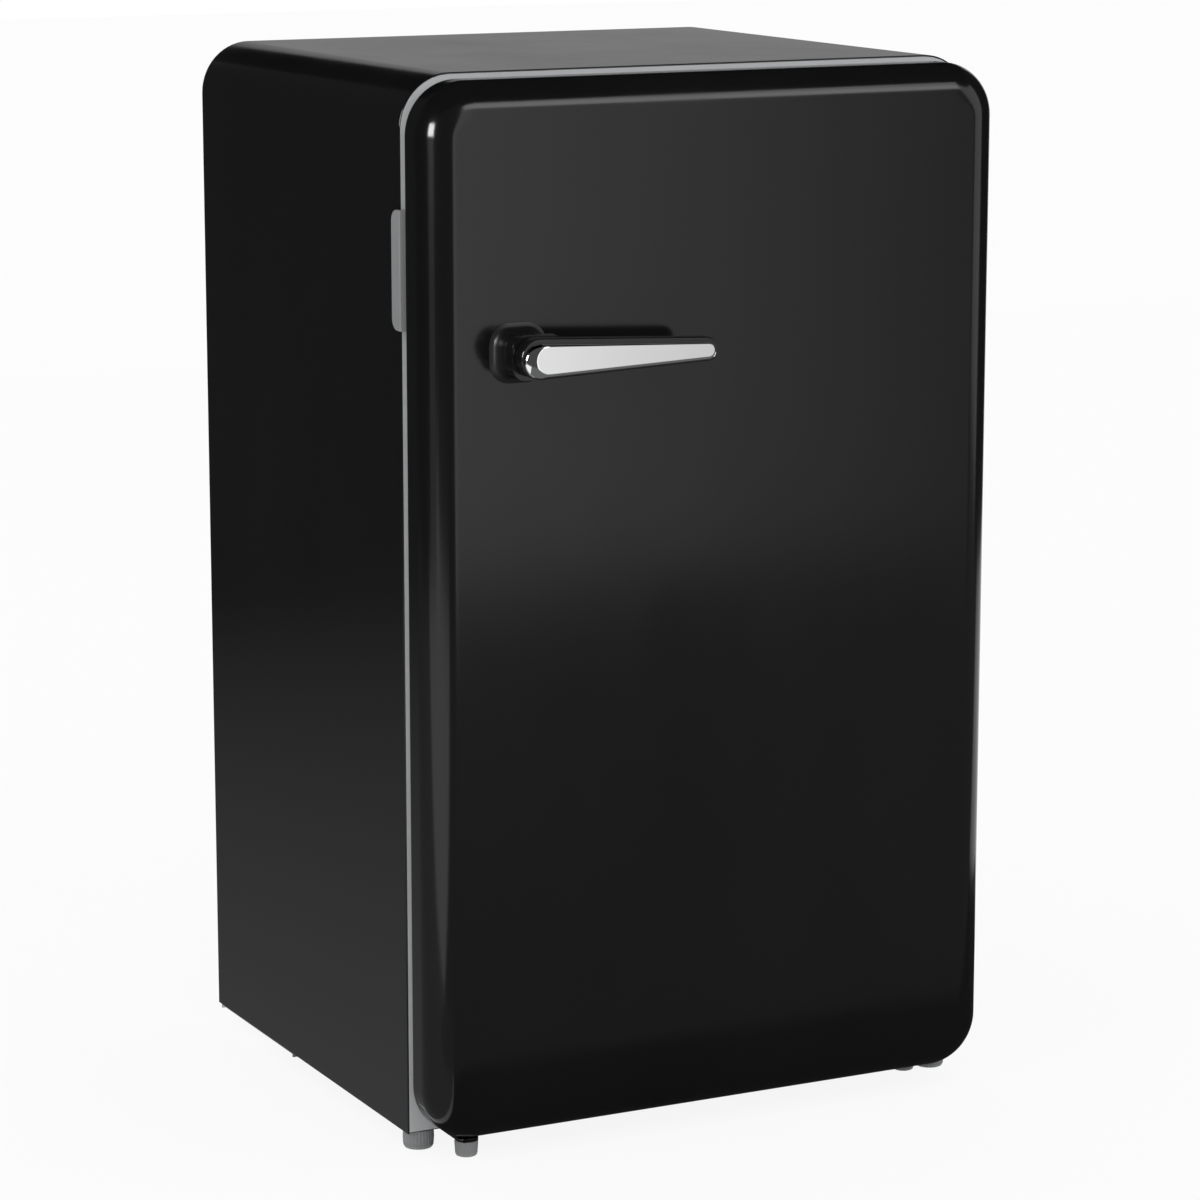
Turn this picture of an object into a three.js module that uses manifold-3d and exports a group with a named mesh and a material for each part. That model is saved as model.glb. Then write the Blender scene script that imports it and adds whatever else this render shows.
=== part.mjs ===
// A compact retro refrigerator, free-standing, with one door hinged on its right.
// Millimetres, +Z up. Everything is drawn with Y = 0 at the cabinet's front plane and +Y to the back;
// the last lines move the origin to the middle of the floor it covers.
import * as THREE from "three";
import { mergeVertices } from "three/addons/utils/BufferGeometryUtils.js";
import Module from "manifold-3d";

const wasm = await Module();
wasm.setup();

// ---- Driving dimensions
const contactGap = 0.3; // left between two pieces that touch
const overlap = 0.5; // by which a piece's own features run into one another

// Cabinet
const cabinetWidth = 500;
const cabinetDepth = 402;
const overallHeight = 845;
const footHeight = 16; // floor to the cabinet's lower edge
const topCornerRadius = 42;
const steelThickness = 0.8;
const frameThickness = 1.2;
const foamThickness = 34;
const rearFoamThickness = 38;
const linerThickness = 2;
const linerCornerRadius = 14;
const backPanelRecess = 1.2;
const ledgeReach = 6.4;
const ledgeHeight = 4;

// Compressor bay, at the bottom of the back
const bayHeight = 180;
const bayDepth = 150;
const bayFoam = 32;
const compressorRadius = 60;
const compressorHeight = 140;
const compressorFootLength = 170;
const compressorFootWidth = 100;
const compressorOffset = -60;
const grommetRadius = 10;
const grommetHeight = 7;
const plateThickness = 1.5;
const plateOverlap = 14; // of the compressor plate under the base pan
const plateLip = 4;
const plateFlange = 20;
const relaySize = { x: 46, y: 52, z: 56 };
const relayRise = 40; // above the compressor's foot plate
const drainPanSize = { x: 130, y: 112, z: 20 };
const drainTubeRadius = 7;
const drainBore = 5;
const pipeRadius = 2.5;
const drierRadius = 9;
const drierLength = 84;
const glandSize = { x: 34, y: 16, z: 26 };
const glandBore = 4;
const coilTubeRadius = 2.4;
const coilPasses = 8;
const coilPocketDepth = 6.2;
const coilSideMargin = 46;

// Ice box, hung under the liner's ceiling
const iceBoxFront = 118;
const iceBoxHeight = 100;
const iceBoxDepth = 218;
const iceBoxWall = 1.6;
const evaporatorBackGap = 18; // for air
const iceFrameDepth = 12;
const iceFrameBand = 13;
const iceBoxGap = 34.6; // from the ice box to the thermostat's housing
const flapThickness = 6;
const flapPivotRadius = 3;
const flapClearance = 2;
const dripTrayHeight = 20;
const plasticWall = 2;

// Thermostat and lamp housing, on the right wall
const housingSize = { x: 50, y: 160, z: 80 };
const housingDrop = 28;
const housingFront = 100;
const knobRadius = 19;
const knobLength = 17;
const knobShaftRadius = 3;
const lampRadius = 9;
const lampLength = 52;

// Shelves and crisper
const shelfFront = 98;
const glassThickness = 4;
const shelfBackGap = 2.4;
const coverGlassLead = 6; // in front of the shelves
const shelfSideClearance = 3.2;
const trimHeight = 12;
const trimDepth = 9;
const drawerFront = 88;
const drawerWall = 2.2;
const drawerSideClearance = 7;
const drawerGrip = 14;

// Door
const doorThickness = 38;
const doorGap = 10; // between the door and the cabinet, filled by the gasket
const doorBottomRise = 0.5; // above the cabinet's lower edge
const doorTopDrop = 4; // below the cabinet's top
const doorCornerRadius = 42;
const doorEdgeRounding = 22;
const skinThickness = 1.2;
const gasketWidth = 18;
const gasketHingeRoom = 1; // from the gasket to the hinges' arms
const dykeWidth = 14;
const dykeReach = 35;
const dykeInset = 12.6; // clear of the liner's opening, which it swings past
const recessRadius = 8;
const binWall = 2.5;
const binReach = 85;
const binHeight = 60;
const rackHeight = 90;
const bottleRoom = 165; // from the rack up to the middle bin
const upperBinDrop = 50; // below the drip tray

// Hinges; the axis stands inside the door's right edge
const hingeInset = 12;
const hingeSetback = 12; // behind the door's back face, towards its front
const pinRadius = 4;
const pinClearance = 0.3;
const bushRadius = 7;
const bushLength = 14;
const upperHingeDrop = 149; // below the top of the fridge
const armThickness = 6;
const armWidth = 10;
const pocketAbove = 12;
const pocketBelow = 18;
const pocketDepth = 23;
const pocketLining = 1.5; // of the foam and the liner, back from the pocket
const hingeCoverDrop = 101.6;
const hingeCoverHeight = 92;
const hingeCoverReach = 12.3;
const hingeCoverThickness = 1.7;
const hingeCoverRadius = 9;
const hingeFlangeWidth = 14;
const hingeFlangeThickness = 3;
const bracketThickness = 3;
const bracketNose = 14; // in front of its foot
const bracketWidth = 24;
const bracketCorner = 6;
const bracketTail = 45;
const collarRadius = 6.5;
const pinHeadHeight = 2;

// Feet
const frontFootRadius = 12.5;
const frontFootInset = 15;
const frontFootSetback = 14;
const levellerRadius = 9.5;
const levellerInset = 40;
const rightLevellerSetback = 14; // under the cabinet, where the left one stands out under the door
const rearFootRadius = 11;
const rearFootInset = 30;
const rearFootSetback = 375;

// Handle, on the door's left
const handleDrop = 210; // its centre line, below the top of the fridge
const handleInset = 60; // from the door's left edge
const handleLength = 162;
const handleRadius = 13.5;
const handleTipRadius = 7;
const handleRim = 4;
const handleStandOff = 29; // finger space behind the arm
const handleArmThickness = 13;
const handleCapThickness = 5;
const handleCapBevel = 2.5;
const handleBaseThickness = 12;
const handleStemWidth = 34;
const handleBaseFlare = 7;

// ---- Places that follow from them
const halfWidth = cabinetWidth / 2;
const foamInset = steelThickness + contactGap;
const linerOuterInset = foamInset + foamThickness + contactGap;
const linerInset = linerOuterInset + linerThickness;
const cavityHalfWidth = halfWidth - linerInset;
const cavityFloor = footHeight + linerInset;
const cavityCeiling = overallHeight - linerInset;
const foamFront = frameThickness + contactGap;
const backPanelFront = cabinetDepth - backPanelRecess - steelThickness;
const foamBack = backPanelFront - contactGap;
const cavityBack = foamBack - rearFoamThickness - contactGap - linerThickness;
const bayFront = cabinetDepth - bayDepth;
const bayTop = footHeight + bayHeight;
const bayLinerGap = contactGap + bayFoam + contactGap + linerThickness;
const stepFront = bayFront - bayLinerGap;
const stepTop = bayTop + bayLinerGap;
const plateTop = footHeight - contactGap;
const compressorY = (bayFront + cabinetDepth) / 2;
const compressorBase = plateTop + contactGap + grommetHeight + contactGap;
const compressorTop = compressorBase + compressorHeight;

const doorBack = -doorGap;
const doorFront = doorBack - doorThickness;
const doorHalf = halfWidth;
const doorBottom = footHeight + doorBottomRise;
const doorTop = overallHeight - doorTopDrop;
const gasketInset = hingeInset + armWidth / 2 + gasketHingeRoom; // from the door's sides
const handleLeft = handleInset - doorHalf;
const hingeX = doorHalf - hingeInset;
const hingeY = doorBack - hingeSetback;
const upperHingeZ = overallHeight - upperHingeDrop;
const dykeBox = {
  x: cavityHalfWidth - dykeInset,
  z0: cavityFloor + dykeInset / 1.5,
  z1: cavityCeiling - dykeInset,
};
const binHalfWidth = dykeBox.x - dykeWidth - contactGap;
const binBack = doorBack + contactGap;
const rackFloor = dykeBox.z0 + dykeWidth + recessRadius + contactGap;

const iceBoxLeft = -cavityHalfWidth + contactGap;
const iceBoxRight = cavityHalfWidth - housingSize.x - iceBoxGap;
const iceFrameTop = cavityCeiling - contactGap;
const iceFrameBottom = iceFrameTop - iceBoxHeight - 2 * iceFrameBand;
const flapTop = iceFrameTop - iceFrameBand - flapClearance;
const flapPivotZ = flapTop - 2 * flapPivotRadius;
const flapPivotY = iceBoxFront + iceFrameDepth / 2 - 1;
const housingTop = cavityCeiling - housingDrop;
const housingLeft = cavityHalfWidth - contactGap - housingSize.x;

const coverGlassBottom = stepTop + contactGap;
const shelfSpace = (iceFrameBottom - dripTrayHeight - coverGlassBottom) / 3;
const shelfLevels = [1, 2].map((level) => coverGlassBottom + level * shelfSpace);
const shelfHalfWidth = cavityHalfWidth - shelfSideClearance;

const handleZ = overallHeight - handleDrop;
const armBack = doorFront - handleStandOff;
const armFront = armBack - handleArmThickness;
const baseFront = doorFront - contactGap - handleBaseThickness;

// ---- Solids
function solidOf(geometry) {
  geometry.deleteAttribute("normal");
  geometry.deleteAttribute("uv");
  const merged = mergeVertices(geometry, 1e-4);
  return new wasm.Manifold(
    new wasm.Mesh({
      numProp: 3,
      vertProperties: new Float32Array(merged.attributes.position.array),
      triVerts: new Uint32Array(merged.index.array),
    }),
  );
}

const join = (first, ...rest) => rest.reduce((sum, next) => sum.add(next), first);
const cut = (body, ...tools) => tools.reduce((left, tool) => left.subtract(tool), body);
const common = (first, second) => first.intersect(second);

function box([x0, x1], [y0, y1], [z0, z1]) {
  const block = new THREE.BoxGeometry(x1 - x0, y1 - y0, z1 - z0);
  block.translate((x0 + x1) / 2, (y0 + y1) / 2, (z0 + z1) / 2);
  return solidOf(block);
}

// An outline is a list of [a, b] corners; a, b are X-Z along Y, Y-Z along X and X-Y along Z.
function extrude(outline, depth) {
  const shape = new THREE.Shape(outline.map(([a, b]) => new THREE.Vector2(a, b)));
  return new THREE.ExtrudeGeometry(shape, { depth, bevelEnabled: false });
}

function alongY(outline, y0, y1) {
  return solidOf(extrude(outline, y1 - y0).rotateX(Math.PI / 2).translate(0, y1, 0));
}

function alongX(outline, x0, x1) {
  const turn = new THREE.Matrix4().makeBasis(
    new THREE.Vector3(0, 1, 0),
    new THREE.Vector3(0, 0, 1),
    new THREE.Vector3(1, 0, 0),
  );
  return solidOf(extrude(outline, x1 - x0).applyMatrix4(turn).translate(x0, 0, 0));
}

function alongZ(outline, z0, z1) {
  return solidOf(extrude(outline, z1 - z0).translate(0, 0, z0));
}

function arc([a, b], radius, fromDegrees, toDegrees, steps = 6) {
  return Array.from({ length: steps + 1 }, (_, i) => {
    const angle = THREE.MathUtils.degToRad(fromDegrees + ((toDegrees - fromDegrees) * i) / steps);
    return [a + radius * Math.cos(angle), b + radius * Math.sin(angle)];
  });
}

function roundedRect([a0, a1], [b0, b1], radius, steps = 5) {
  const r = Math.min(radius, (a1 - a0) / 2.01, (b1 - b0) / 2.01);
  return [
    ...arc([a1 - r, b0 + r], r, -90, 0, steps),
    ...arc([a1 - r, b1 - r], r, 0, 90, steps),
    ...arc([a0 + r, b1 - r], r, 90, 180, steps),
    ...arc([a0 + r, b0 + r], r, 180, 270, steps),
  ];
}

// Turned about Z from a profile of [radius, height] points that runs from the axis up and back to it.
function turned(profile, [x, y], segments = 24) {
  const points = profile.map(([r, z]) => new THREE.Vector2(r, z));
  const geometry = new THREE.LatheGeometry(points, segments);
  return solidOf(geometry.rotateX(Math.PI / 2).translate(x, y, 0));
}

function rod(radius, [x, y], [z0, z1], segments = 20) {
  const geometry = new THREE.CylinderGeometry(radius, radius, z1 - z0, segments);
  return solidOf(geometry.rotateX(Math.PI / 2).translate(x, y, (z0 + z1) / 2));
}

function rodAlongX(radius, [y, z], [x0, x1], segments = 16) {
  const geometry = new THREE.CylinderGeometry(radius, radius, x1 - x0, segments);
  return solidOf(geometry.rotateZ(Math.PI / 2).translate((x0 + x1) / 2, y, z));
}

function rodAlongY(radius, [x, z], [y0, y1], segments = 24) {
  const geometry = new THREE.CylinderGeometry(radius, radius, y1 - y0, segments);
  return solidOf(geometry.translate(x, (y0 + y1) / 2, z));
}

function tube(points, radius, steps, sides = 8) {
  const path = new THREE.CatmullRomCurve3(points.map((p) => new THREE.Vector3(...p)), false, "centripetal");
  const ring = arc([0, 0], radius, 0, 360, sides).slice(1);
  const section = new THREE.Shape(ring.map(([a, b]) => new THREE.Vector2(a, b)));
  return solidOf(new THREE.ExtrudeGeometry(section, { steps, extrudePath: path, bevelEnabled: false }));
}

// ---- Finishes: colour, roughness, metalness
const finishes = {
  blackEnamel: [0x0b0b0c, 0.22, 0],
  galvanised: [0x9a9c9e, 0.45, 0.9],
  zincSteel: [0xb4b4b0, 0.35, 1],
  frameGrey: [0xc4c6c8, 0.5, 0],
  whitePlastic: [0xe9ebec, 0.4, 0],
  greyPlastic: [0x8c8e90, 0.55, 0],
  clearPlastic: [0xdfe8ec, 0.15, 0],
  glass: [0xd6e4e0, 0.05, 0],
  foam: [0xe6d9a8, 0.95, 0],
  rubber: [0x1a1a1a, 0.9, 0],
  gasket: [0x9b9da0, 0.7, 0],
  compressorBlack: [0x131313, 0.5, 0.2],
  copper: [0xb8734a, 0.35, 1],
  aluminium: [0xc8cacc, 0.4, 1],
  chrome: [0xe8e8ea, 0.06, 1],
};

const fridge = new THREE.Group();

function add(name, solid, finish) {
  const { vertProperties, triVerts } = solid.getMesh();
  const geometry = new THREE.BufferGeometry();
  geometry.setAttribute("position", new THREE.BufferAttribute(vertProperties, 3));
  geometry.setIndex(new THREE.BufferAttribute(triVerts, 1));
  const flat = geometry.toNonIndexed();
  flat.computeVertexNormals();
  const [color, roughness, metalness] = finishes[finish];
  const mesh = new THREE.Mesh(flat, new THREE.MeshStandardMaterial({ color, roughness, metalness }));
  mesh.name = name;
  fridge.add(mesh);
}

// ---- Cabinet
// The cabinet seen from the front, drawn in from its outside by an inset: round above, square below.
function cabinetOutline(inset) {
  const side = halfWidth - inset;
  const radius = topCornerRadius - inset;
  const top = overallHeight - inset;
  return [
    [-side, footHeight + inset],
    [side, footHeight + inset],
    ...arc([side - radius, top - radius], radius, 0, 90, 8),
    ...arc([-side + radius, top - radius], radius, 90, 180, 8),
  ];
}

// The inside of the liner, grown outwards on every side but the front.
function cavity(grow, front) {
  const outline = roundedRect(
    [-cavityHalfWidth - grow, cavityHalfWidth + grow],
    [cavityFloor - grow, cavityCeiling + grow],
    linerCornerRadius + grow,
    3,
  );
  const step = box(
    [-halfWidth, halfWidth],
    [stepFront + grow, cabinetDepth],
    [0, stepTop - grow],
  );
  return cut(alongY(outline, front, cavityBack + grow), step);
}

function ledges() {
  const rails = [...shelfLevels.map((z) => [z - contactGap, cavityBack]), [stepTop, stepFront]];
  return rails.flatMap(([top, back]) =>
    [-1, 1].map((side) => {
      const wall = side * (cavityHalfWidth + overlap);
      const tip = side * (cavityHalfWidth - ledgeReach);
      const span = [Math.min(wall, tip), Math.max(wall, tip)];
      return box(span, [shelfFront, back + overlap], [top - ledgeHeight, top]);
    }),
  );
}

function outerShell() {
  const outside = alongY(cabinetOutline(0), 0, cabinetDepth);
  const inside = alongY(cabinetOutline(steelThickness), -1, cabinetDepth + 1);
  const openBottom = box(
    [-halfWidth + steelThickness, halfWidth - steelThickness],
    [-1, cabinetDepth + 1],
    [0, footHeight + topCornerRadius],
  );
  return cut(outside, inside, openBottom);
}

const drainAt = [compressorOffset, (stepFront + bayLinerGap + foamBack) / 2];

function drainHole(radius) {
  return rod(radius, drainAt, [bayTop - 10, stepTop + 1]);
}

function insulation() {
  const block = alongY(cabinetOutline(foamInset), foamFront, foamBack);
  const bay = box([-halfWidth, halfWidth], [bayFront - contactGap, cabinetDepth], [0, bayTop + contactGap]);
  const coilPocket = box(
    [-halfWidth + coilSideMargin - 12, halfWidth - coilSideMargin + 12],
    [foamBack - coilPocketDepth, cabinetDepth],
    [bayTop + 22, overallHeight - 42],
  );
  const liner = cavity(linerThickness + contactGap, -1);
  return cut(block, liner, bay, coilPocket, drainHole(drainTubeRadius + contactGap));
}

function innerLiner() {
  const shell = cut(cavity(linerThickness, 0), cavity(0, -1));
  return cut(join(shell, ...ledges()), drainHole(drainBore));
}

function frontFrame() {
  const ring = alongY(cabinetOutline(foamInset), 0, frameThickness);
  return cut(ring, cavity(linerThickness + contactGap, -1));
}

function backPanel() {
  const sheet = alongY(cabinetOutline(foamInset), backPanelFront, backPanelFront + steelThickness);
  const bayOpening = box([-halfWidth, halfWidth], [0, cabinetDepth], [0, bayTop + contactGap]);
  return cut(sheet, bayOpening);
}

function basePan() {
  return box(
    [-halfWidth + foamInset, halfWidth - foamInset],
    [foamFront, bayFront - contactGap],
    [footHeight, footHeight + steelThickness],
  );
}

function bayPanel() {
  const profile = [
    [bayFront, footHeight],
    [bayFront + steelThickness, footHeight],
    [bayFront + steelThickness, bayTop - steelThickness],
    [backPanelFront + steelThickness, bayTop - steelThickness],
    [backPanelFront + steelThickness, bayTop],
    [bayFront, bayTop],
  ];
  const sheet = alongX(profile, -halfWidth + foamInset, halfWidth - foamInset);
  return cut(sheet, drainHole(drainTubeRadius + contactGap));
}

// ---- Compressor bay
function compressorPlate() {
  const reach = halfWidth - foamInset - contactGap;
  const front = bayFront - plateOverlap;
  const back = cabinetDepth - 4;
  const sheet = box([-reach, reach], [front, back], [plateTop - plateThickness, plateTop]);
  const lips = [front, back - plateThickness].map((y) =>
    box([-reach, reach], [y, y + plateThickness], [plateTop - plateLip, plateTop]),
  );
  const flanges = [-reach, reach - plateThickness].map((x) =>
    box([x, x + plateThickness], [bayFront + 4, back], [plateTop - plateThickness, plateTop + plateFlange]),
  );
  return join(sheet, ...lips, ...flanges);
}

function compressor() {
  const shoulder = compressorRadius * 0.55;
  const dome = arc([compressorRadius - shoulder, compressorTop - shoulder], shoulder, 0, 90, 5);
  const profile = [
    [0, compressorBase + 1],
    [compressorRadius - 8, compressorBase + 1],
    [compressorRadius, compressorBase + 9],
    ...dome,
    [0, compressorTop],
  ];
  const foot = roundedRect(
    [compressorOffset - compressorFootLength / 2, compressorOffset + compressorFootLength / 2],
    [compressorY - compressorFootWidth / 2, compressorY + compressorFootWidth / 2],
    14,
    3,
  );
  const can = turned(profile, [compressorOffset, compressorY]);
  return join(can, alongZ(foot, compressorBase, compressorBase + 3));
}

function grommet(sideX, sideY) {
  const at = [
    compressorOffset + sideX * (compressorFootLength / 2 - grommetRadius - 1),
    compressorY + sideY * (compressorFootWidth / 2 - grommetRadius - 1),
  ];
  const base = plateTop + contactGap;
  const waist = base + grommetHeight / 2;
  const profile = [
    [0, base],
    [grommetRadius, base],
    [grommetRadius - 2, waist],
    [grommetRadius, base + grommetHeight],
    [0, base + grommetHeight],
  ];
  return turned(profile, at, 16);
}

const relayLeft = compressorOffset + compressorRadius * 0.72;
const relayRight = relayLeft + relaySize.x;

function relayCover() {
  const y = [compressorY - relaySize.y / 2, compressorY + relaySize.y / 2];
  const base = compressorBase + relayRise;
  const block = alongZ(roundedRect([relayLeft, relayRight], y, 6, 3), base, base + relaySize.z);
  return cut(block, rod(compressorRadius + contactGap, [compressorOffset, compressorY], [0, bayTop], 24));
}

function drainPan() {
  const floor = compressorTop + contactGap;
  const x = [compressorOffset - drainPanSize.x / 2, compressorOffset + drainPanSize.x / 2];
  const y = [compressorY - drainPanSize.y / 2, compressorY + drainPanSize.y / 2];
  const w = plasticWall;
  const outside = alongZ(roundedRect(x, y, 14, 3), floor, floor + drainPanSize.z);
  const inside = alongZ(roundedRect([x[0] + w, x[1] - w], [y[0] + w, y[1] - w], 12, 3), floor + w, bayTop);
  return cut(outside, inside);
}

function drainTube() {
  const low = compressorTop + contactGap + plasticWall + 6;
  const high = stepTop - linerThickness - contactGap;
  const bore = rod(drainBore, drainAt, [low - 1, high + 1], 16);
  return cut(rod(drainTubeRadius, drainAt, [low, high], 16), bore);
}

const roofUnderside = bayTop - steelThickness - contactGap;
const drierX = relayRight + 34;

function filterDrier() {
  const top = roofUnderside;
  const bodyTop = top - 26;
  const bodyBottom = bodyTop - drierLength;
  const profile = [
    [0, bodyBottom - 12],
    [2, bodyBottom - 12],
    [2, bodyBottom - 4],
    [drierRadius, bodyBottom + 4],
    [drierRadius, bodyTop - 4],
    [pipeRadius, bodyTop + 4],
    [pipeRadius, top],
    [0, top],
  ];
  const capillary = tube(
    [
      [drierX, compressorY, bodyBottom - 9],
      [drierX + 3, compressorY, bodyBottom - 22],
      [drierX + 16, compressorY, bodyBottom - 26],
      [drierX + 26, compressorY, bodyBottom - 10],
      [drierX + 28, compressorY, bodyBottom + 40],
      [drierX + 28, compressorY, roofUnderside],
    ],
    1.4,
    24,
    6,
  );
  return join(turned(profile, [drierX, compressorY], 16), capillary);
}

// A pipe leaves the compressor's side level, bends up and ends under the bay's roof.
function risingPipe(angleDegrees, level, reach) {
  const angle = THREE.MathUtils.degToRad(angleDegrees);
  const at = (distance, z) => [
    compressorOffset + distance * Math.cos(angle),
    compressorY + distance * Math.sin(angle),
    z,
  ];
  const start = compressorRadius + contactGap + 0.4;
  const end = compressorRadius + reach;
  const run = [at(start, level), at(end - 10, level), at(end, level + 10)];
  const rise = [at(end, roofUnderside - 14), at(end, roofUnderside)];
  return tube([...run, ...rise], pipeRadius, 18);
}

function cordGland() {
  const x0 = drierX + 44;
  const y0 = cabinetDepth - 26;
  const z0 = plateTop + contactGap;
  const outline = roundedRect([x0, x0 + glandSize.x], [z0, z0 + glandSize.z], 4, 3);
  const block = alongY(outline, y0, y0 + glandSize.y);
  const middle = [x0 + glandSize.x / 2, z0 + glandSize.z / 2];
  return cut(block, rodAlongY(glandBore, middle, [0, cabinetDepth], 16));
}

// A serpentine: level passes one above the other, joined by half rings at alternate ends.
function condenserCoil() {
  const y = backPanelFront - contactGap - coilTubeRadius;
  const half = halfWidth - coilSideMargin;
  const low = bayTop + 40;
  const pitch = (overallHeight - 60 - low) / (coilPasses - 1);
  const passes = Array.from({ length: coilPasses }, (_, i) =>
    rodAlongX(coilTubeRadius, [y, low + i * pitch], [-half + pitch / 2, half - pitch / 2], 8),
  );
  const bends = Array.from({ length: coilPasses - 1 }, (_, i) => {
    const side = i % 2 ? -1 : 1;
    const bend = new THREE.TorusGeometry(pitch / 2, coilTubeRadius, 8, 16, 2 * Math.PI);
    bend.rotateX(Math.PI / 2).translate(side * (half - pitch / 2), y, low + (i + 0.5) * pitch);
    const inner = half - pitch / 2 - overlap;
    const outer = side > 0 ? [inner, halfWidth] : [-halfWidth, -inner];
    return common(solidOf(bend), box(outer, [0, cabinetDepth], [0, overallHeight]));
  });
  return join(...passes, ...bends);
}

// ---- Ice box
const iceOpening = {
  x: [iceBoxLeft + iceFrameBand, iceBoxRight - iceFrameBand],
  z: [iceFrameBottom + iceFrameBand, iceFrameTop - iceFrameBand],
};

function evaporatorBox() {
  const front = iceBoxFront + iceFrameDepth + contactGap;
  const grown = iceBoxWall + 1;
  const [x0, x1] = iceOpening.x;
  const [z0, z1] = iceOpening.z;
  const outside = box([x0 - grown, x1 + grown], [front, front + iceBoxDepth], [z0 - grown, z1 + grown]);
  const inside = box([x0 - 1, x1 + 1], [front - 1, front + iceBoxDepth - iceBoxWall], [z0 - 1, z1 + 1]);
  return cut(outside, inside);
}

const flapPivotReach = 5;

function iceBoxFrame() {
  const ring = alongY(
    roundedRect([iceBoxLeft, iceBoxRight], [iceFrameBottom, iceFrameTop], linerCornerRadius - contactGap, 3),
    iceBoxFront,
    iceBoxFront + iceFrameDepth,
  );
  const opening = box(iceOpening.x, [0, cavityBack], iceOpening.z);
  const sockets = rodAlongX(
    flapPivotRadius + pinClearance + 0.1,
    [flapPivotY, flapPivotZ],
    [iceOpening.x[0] - flapPivotReach, iceOpening.x[1] + flapPivotReach],
  );
  return cut(ring, opening, sockets);
}

function iceBoxFlap() {
  const [x0, x1] = iceOpening.x;
  const y = [flapPivotY - flapThickness / 2, flapPivotY + flapThickness / 2];
  const plate = alongY(
    roundedRect([x0 + flapClearance, x1 - flapClearance], [iceOpening.z[0] + flapClearance, flapTop], 3, 3),
    ...y,
  );
  const pivots = rodAlongX(
    flapPivotRadius,
    [flapPivotY, flapPivotZ],
    [x0 - flapPivotReach + 1, x1 + flapPivotReach - 1],
  );
  const grip = box(
    [(x0 + x1) / 2 - 35, (x0 + x1) / 2 + 35],
    [y[0] - 7, y[0] + overlap],
    [iceOpening.z[0] + 10, iceOpening.z[0] + 14],
  );
  return join(plate, pivots, grip);
}

function dripTray() {
  const top = iceOpening.z[0] - iceBoxWall - 1 - contactGap;
  const x = [iceOpening.x[0], iceOpening.x[1]];
  const y = [iceBoxFront + iceFrameDepth + contactGap, cavityBack - evaporatorBackGap];
  const w = plasticWall;
  const outside = box(x, y, [top - dripTrayHeight, top]);
  return cut(outside, box([x[0] + w, x[1] - w], [y[0] + w, y[1] - w], [top - dripTrayHeight + w, top + 1]));
}

// ---- Thermostat and lamp
const housingMid = {
  x: housingLeft + housingSize.x / 2,
  z: housingTop - housingSize.z / 2,
};
const lensSpan = { y: [housingFront + 46, housingFront + 142], z: [housingTop - 66, housingTop - 14] };

function thermostatHousing() {
  const w = plasticWall;
  const right = housingLeft + housingSize.x;
  const y = [housingFront, housingFront + housingSize.y];
  const z = [housingTop - housingSize.z, housingTop];
  const outside = common(
    box([housingLeft, right], y, z),
    alongY(roundedRect([housingLeft, right + 20], z, 8, 3), ...y),
  );
  const inside = box([housingLeft + w, right + 1], [y[0] + w, y[1] - w], [z[0] + w, z[1] - w]);
  const lensWindow = box([housingLeft - 1, housingLeft + w + 1], lensSpan.y, lensSpan.z);
  const middle = [housingMid.x, housingMid.z];
  const shaftHole = rodAlongY(knobShaftRadius + 0.5, middle, [y[0] - 1, y[0] + w + 1], 16);
  return cut(outside, inside, lensWindow, shaftHole);
}

function thermostatKnob() {
  const back = housingFront - contactGap;
  const at = [housingMid.x, housingMid.z];
  const dial = rodAlongY(knobRadius, at, [back - knobLength * 0.45, back], 28);
  const grip = box(
    [housingMid.x - 4, housingMid.x + 4],
    [back - knobLength, back - overlap],
    [housingMid.z - knobRadius + 2, housingMid.z + knobRadius - 2],
  );
  const shaft = rodAlongY(knobShaftRadius, at, [back - overlap, back + 16], 16);
  return join(dial, grip, shaft);
}

function lampLens() {
  const [y0, y1] = lensSpan.y;
  const [z0, z1] = lensSpan.z;
  const gap = contactGap;
  return box([housingLeft + gap, housingLeft + plasticWall], [y0 + gap, y1 - gap], [z0 + gap, z1 - gap]);
}

function lamp() {
  const z = housingMid.z;
  const end = housingFront + housingSize.y - plasticWall - contactGap;
  const start = end - lampLength - 14;
  const bulb = rodAlongY(lampRadius, [housingMid.x, z], [start, end - 13], 16);
  const socket = box([housingMid.x - 12, housingMid.x + 12], [end - 14, end], [z - 12, z + 12]);
  return join(bulb, socket);
}

// ---- Shelves and crisper
function glassShelf(level) {
  const z = [level, level + glassThickness];
  return box([-shelfHalfWidth, shelfHalfWidth], [shelfFront, cavityBack - shelfBackGap], z);
}

function shelfTrim(level) {
  const y0 = shelfFront - trimDepth;
  const z0 = level - (trimHeight - glassThickness) / 2;
  const bar = box([-shelfHalfWidth, shelfHalfWidth], [y0, shelfFront + 7], [z0, z0 + trimHeight]);
  const slot = box(
    [-cabinetWidth, cabinetWidth],
    [shelfFront - contactGap, shelfFront + 8],
    [level - contactGap, level + glassThickness + contactGap],
  );
  const ledgeRelief = [-1, 1].map((side) => {
    const x = side * (cavityHalfWidth - ledgeReach - 1);
    const span = [Math.min(x, side * halfWidth), Math.max(x, side * halfWidth)];
    return box(span, [shelfFront - contactGap, shelfFront + 8], [level - 30, level + 1]);
  });
  return cut(bar, slot, ...ledgeRelief);
}

const drawer = {
  x: [-cavityHalfWidth + drawerSideClearance, cavityHalfWidth - drawerSideClearance],
  y: [drawerFront, stepFront - 3],
  z: [cavityFloor + contactGap, stepTop - 6],
};

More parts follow.
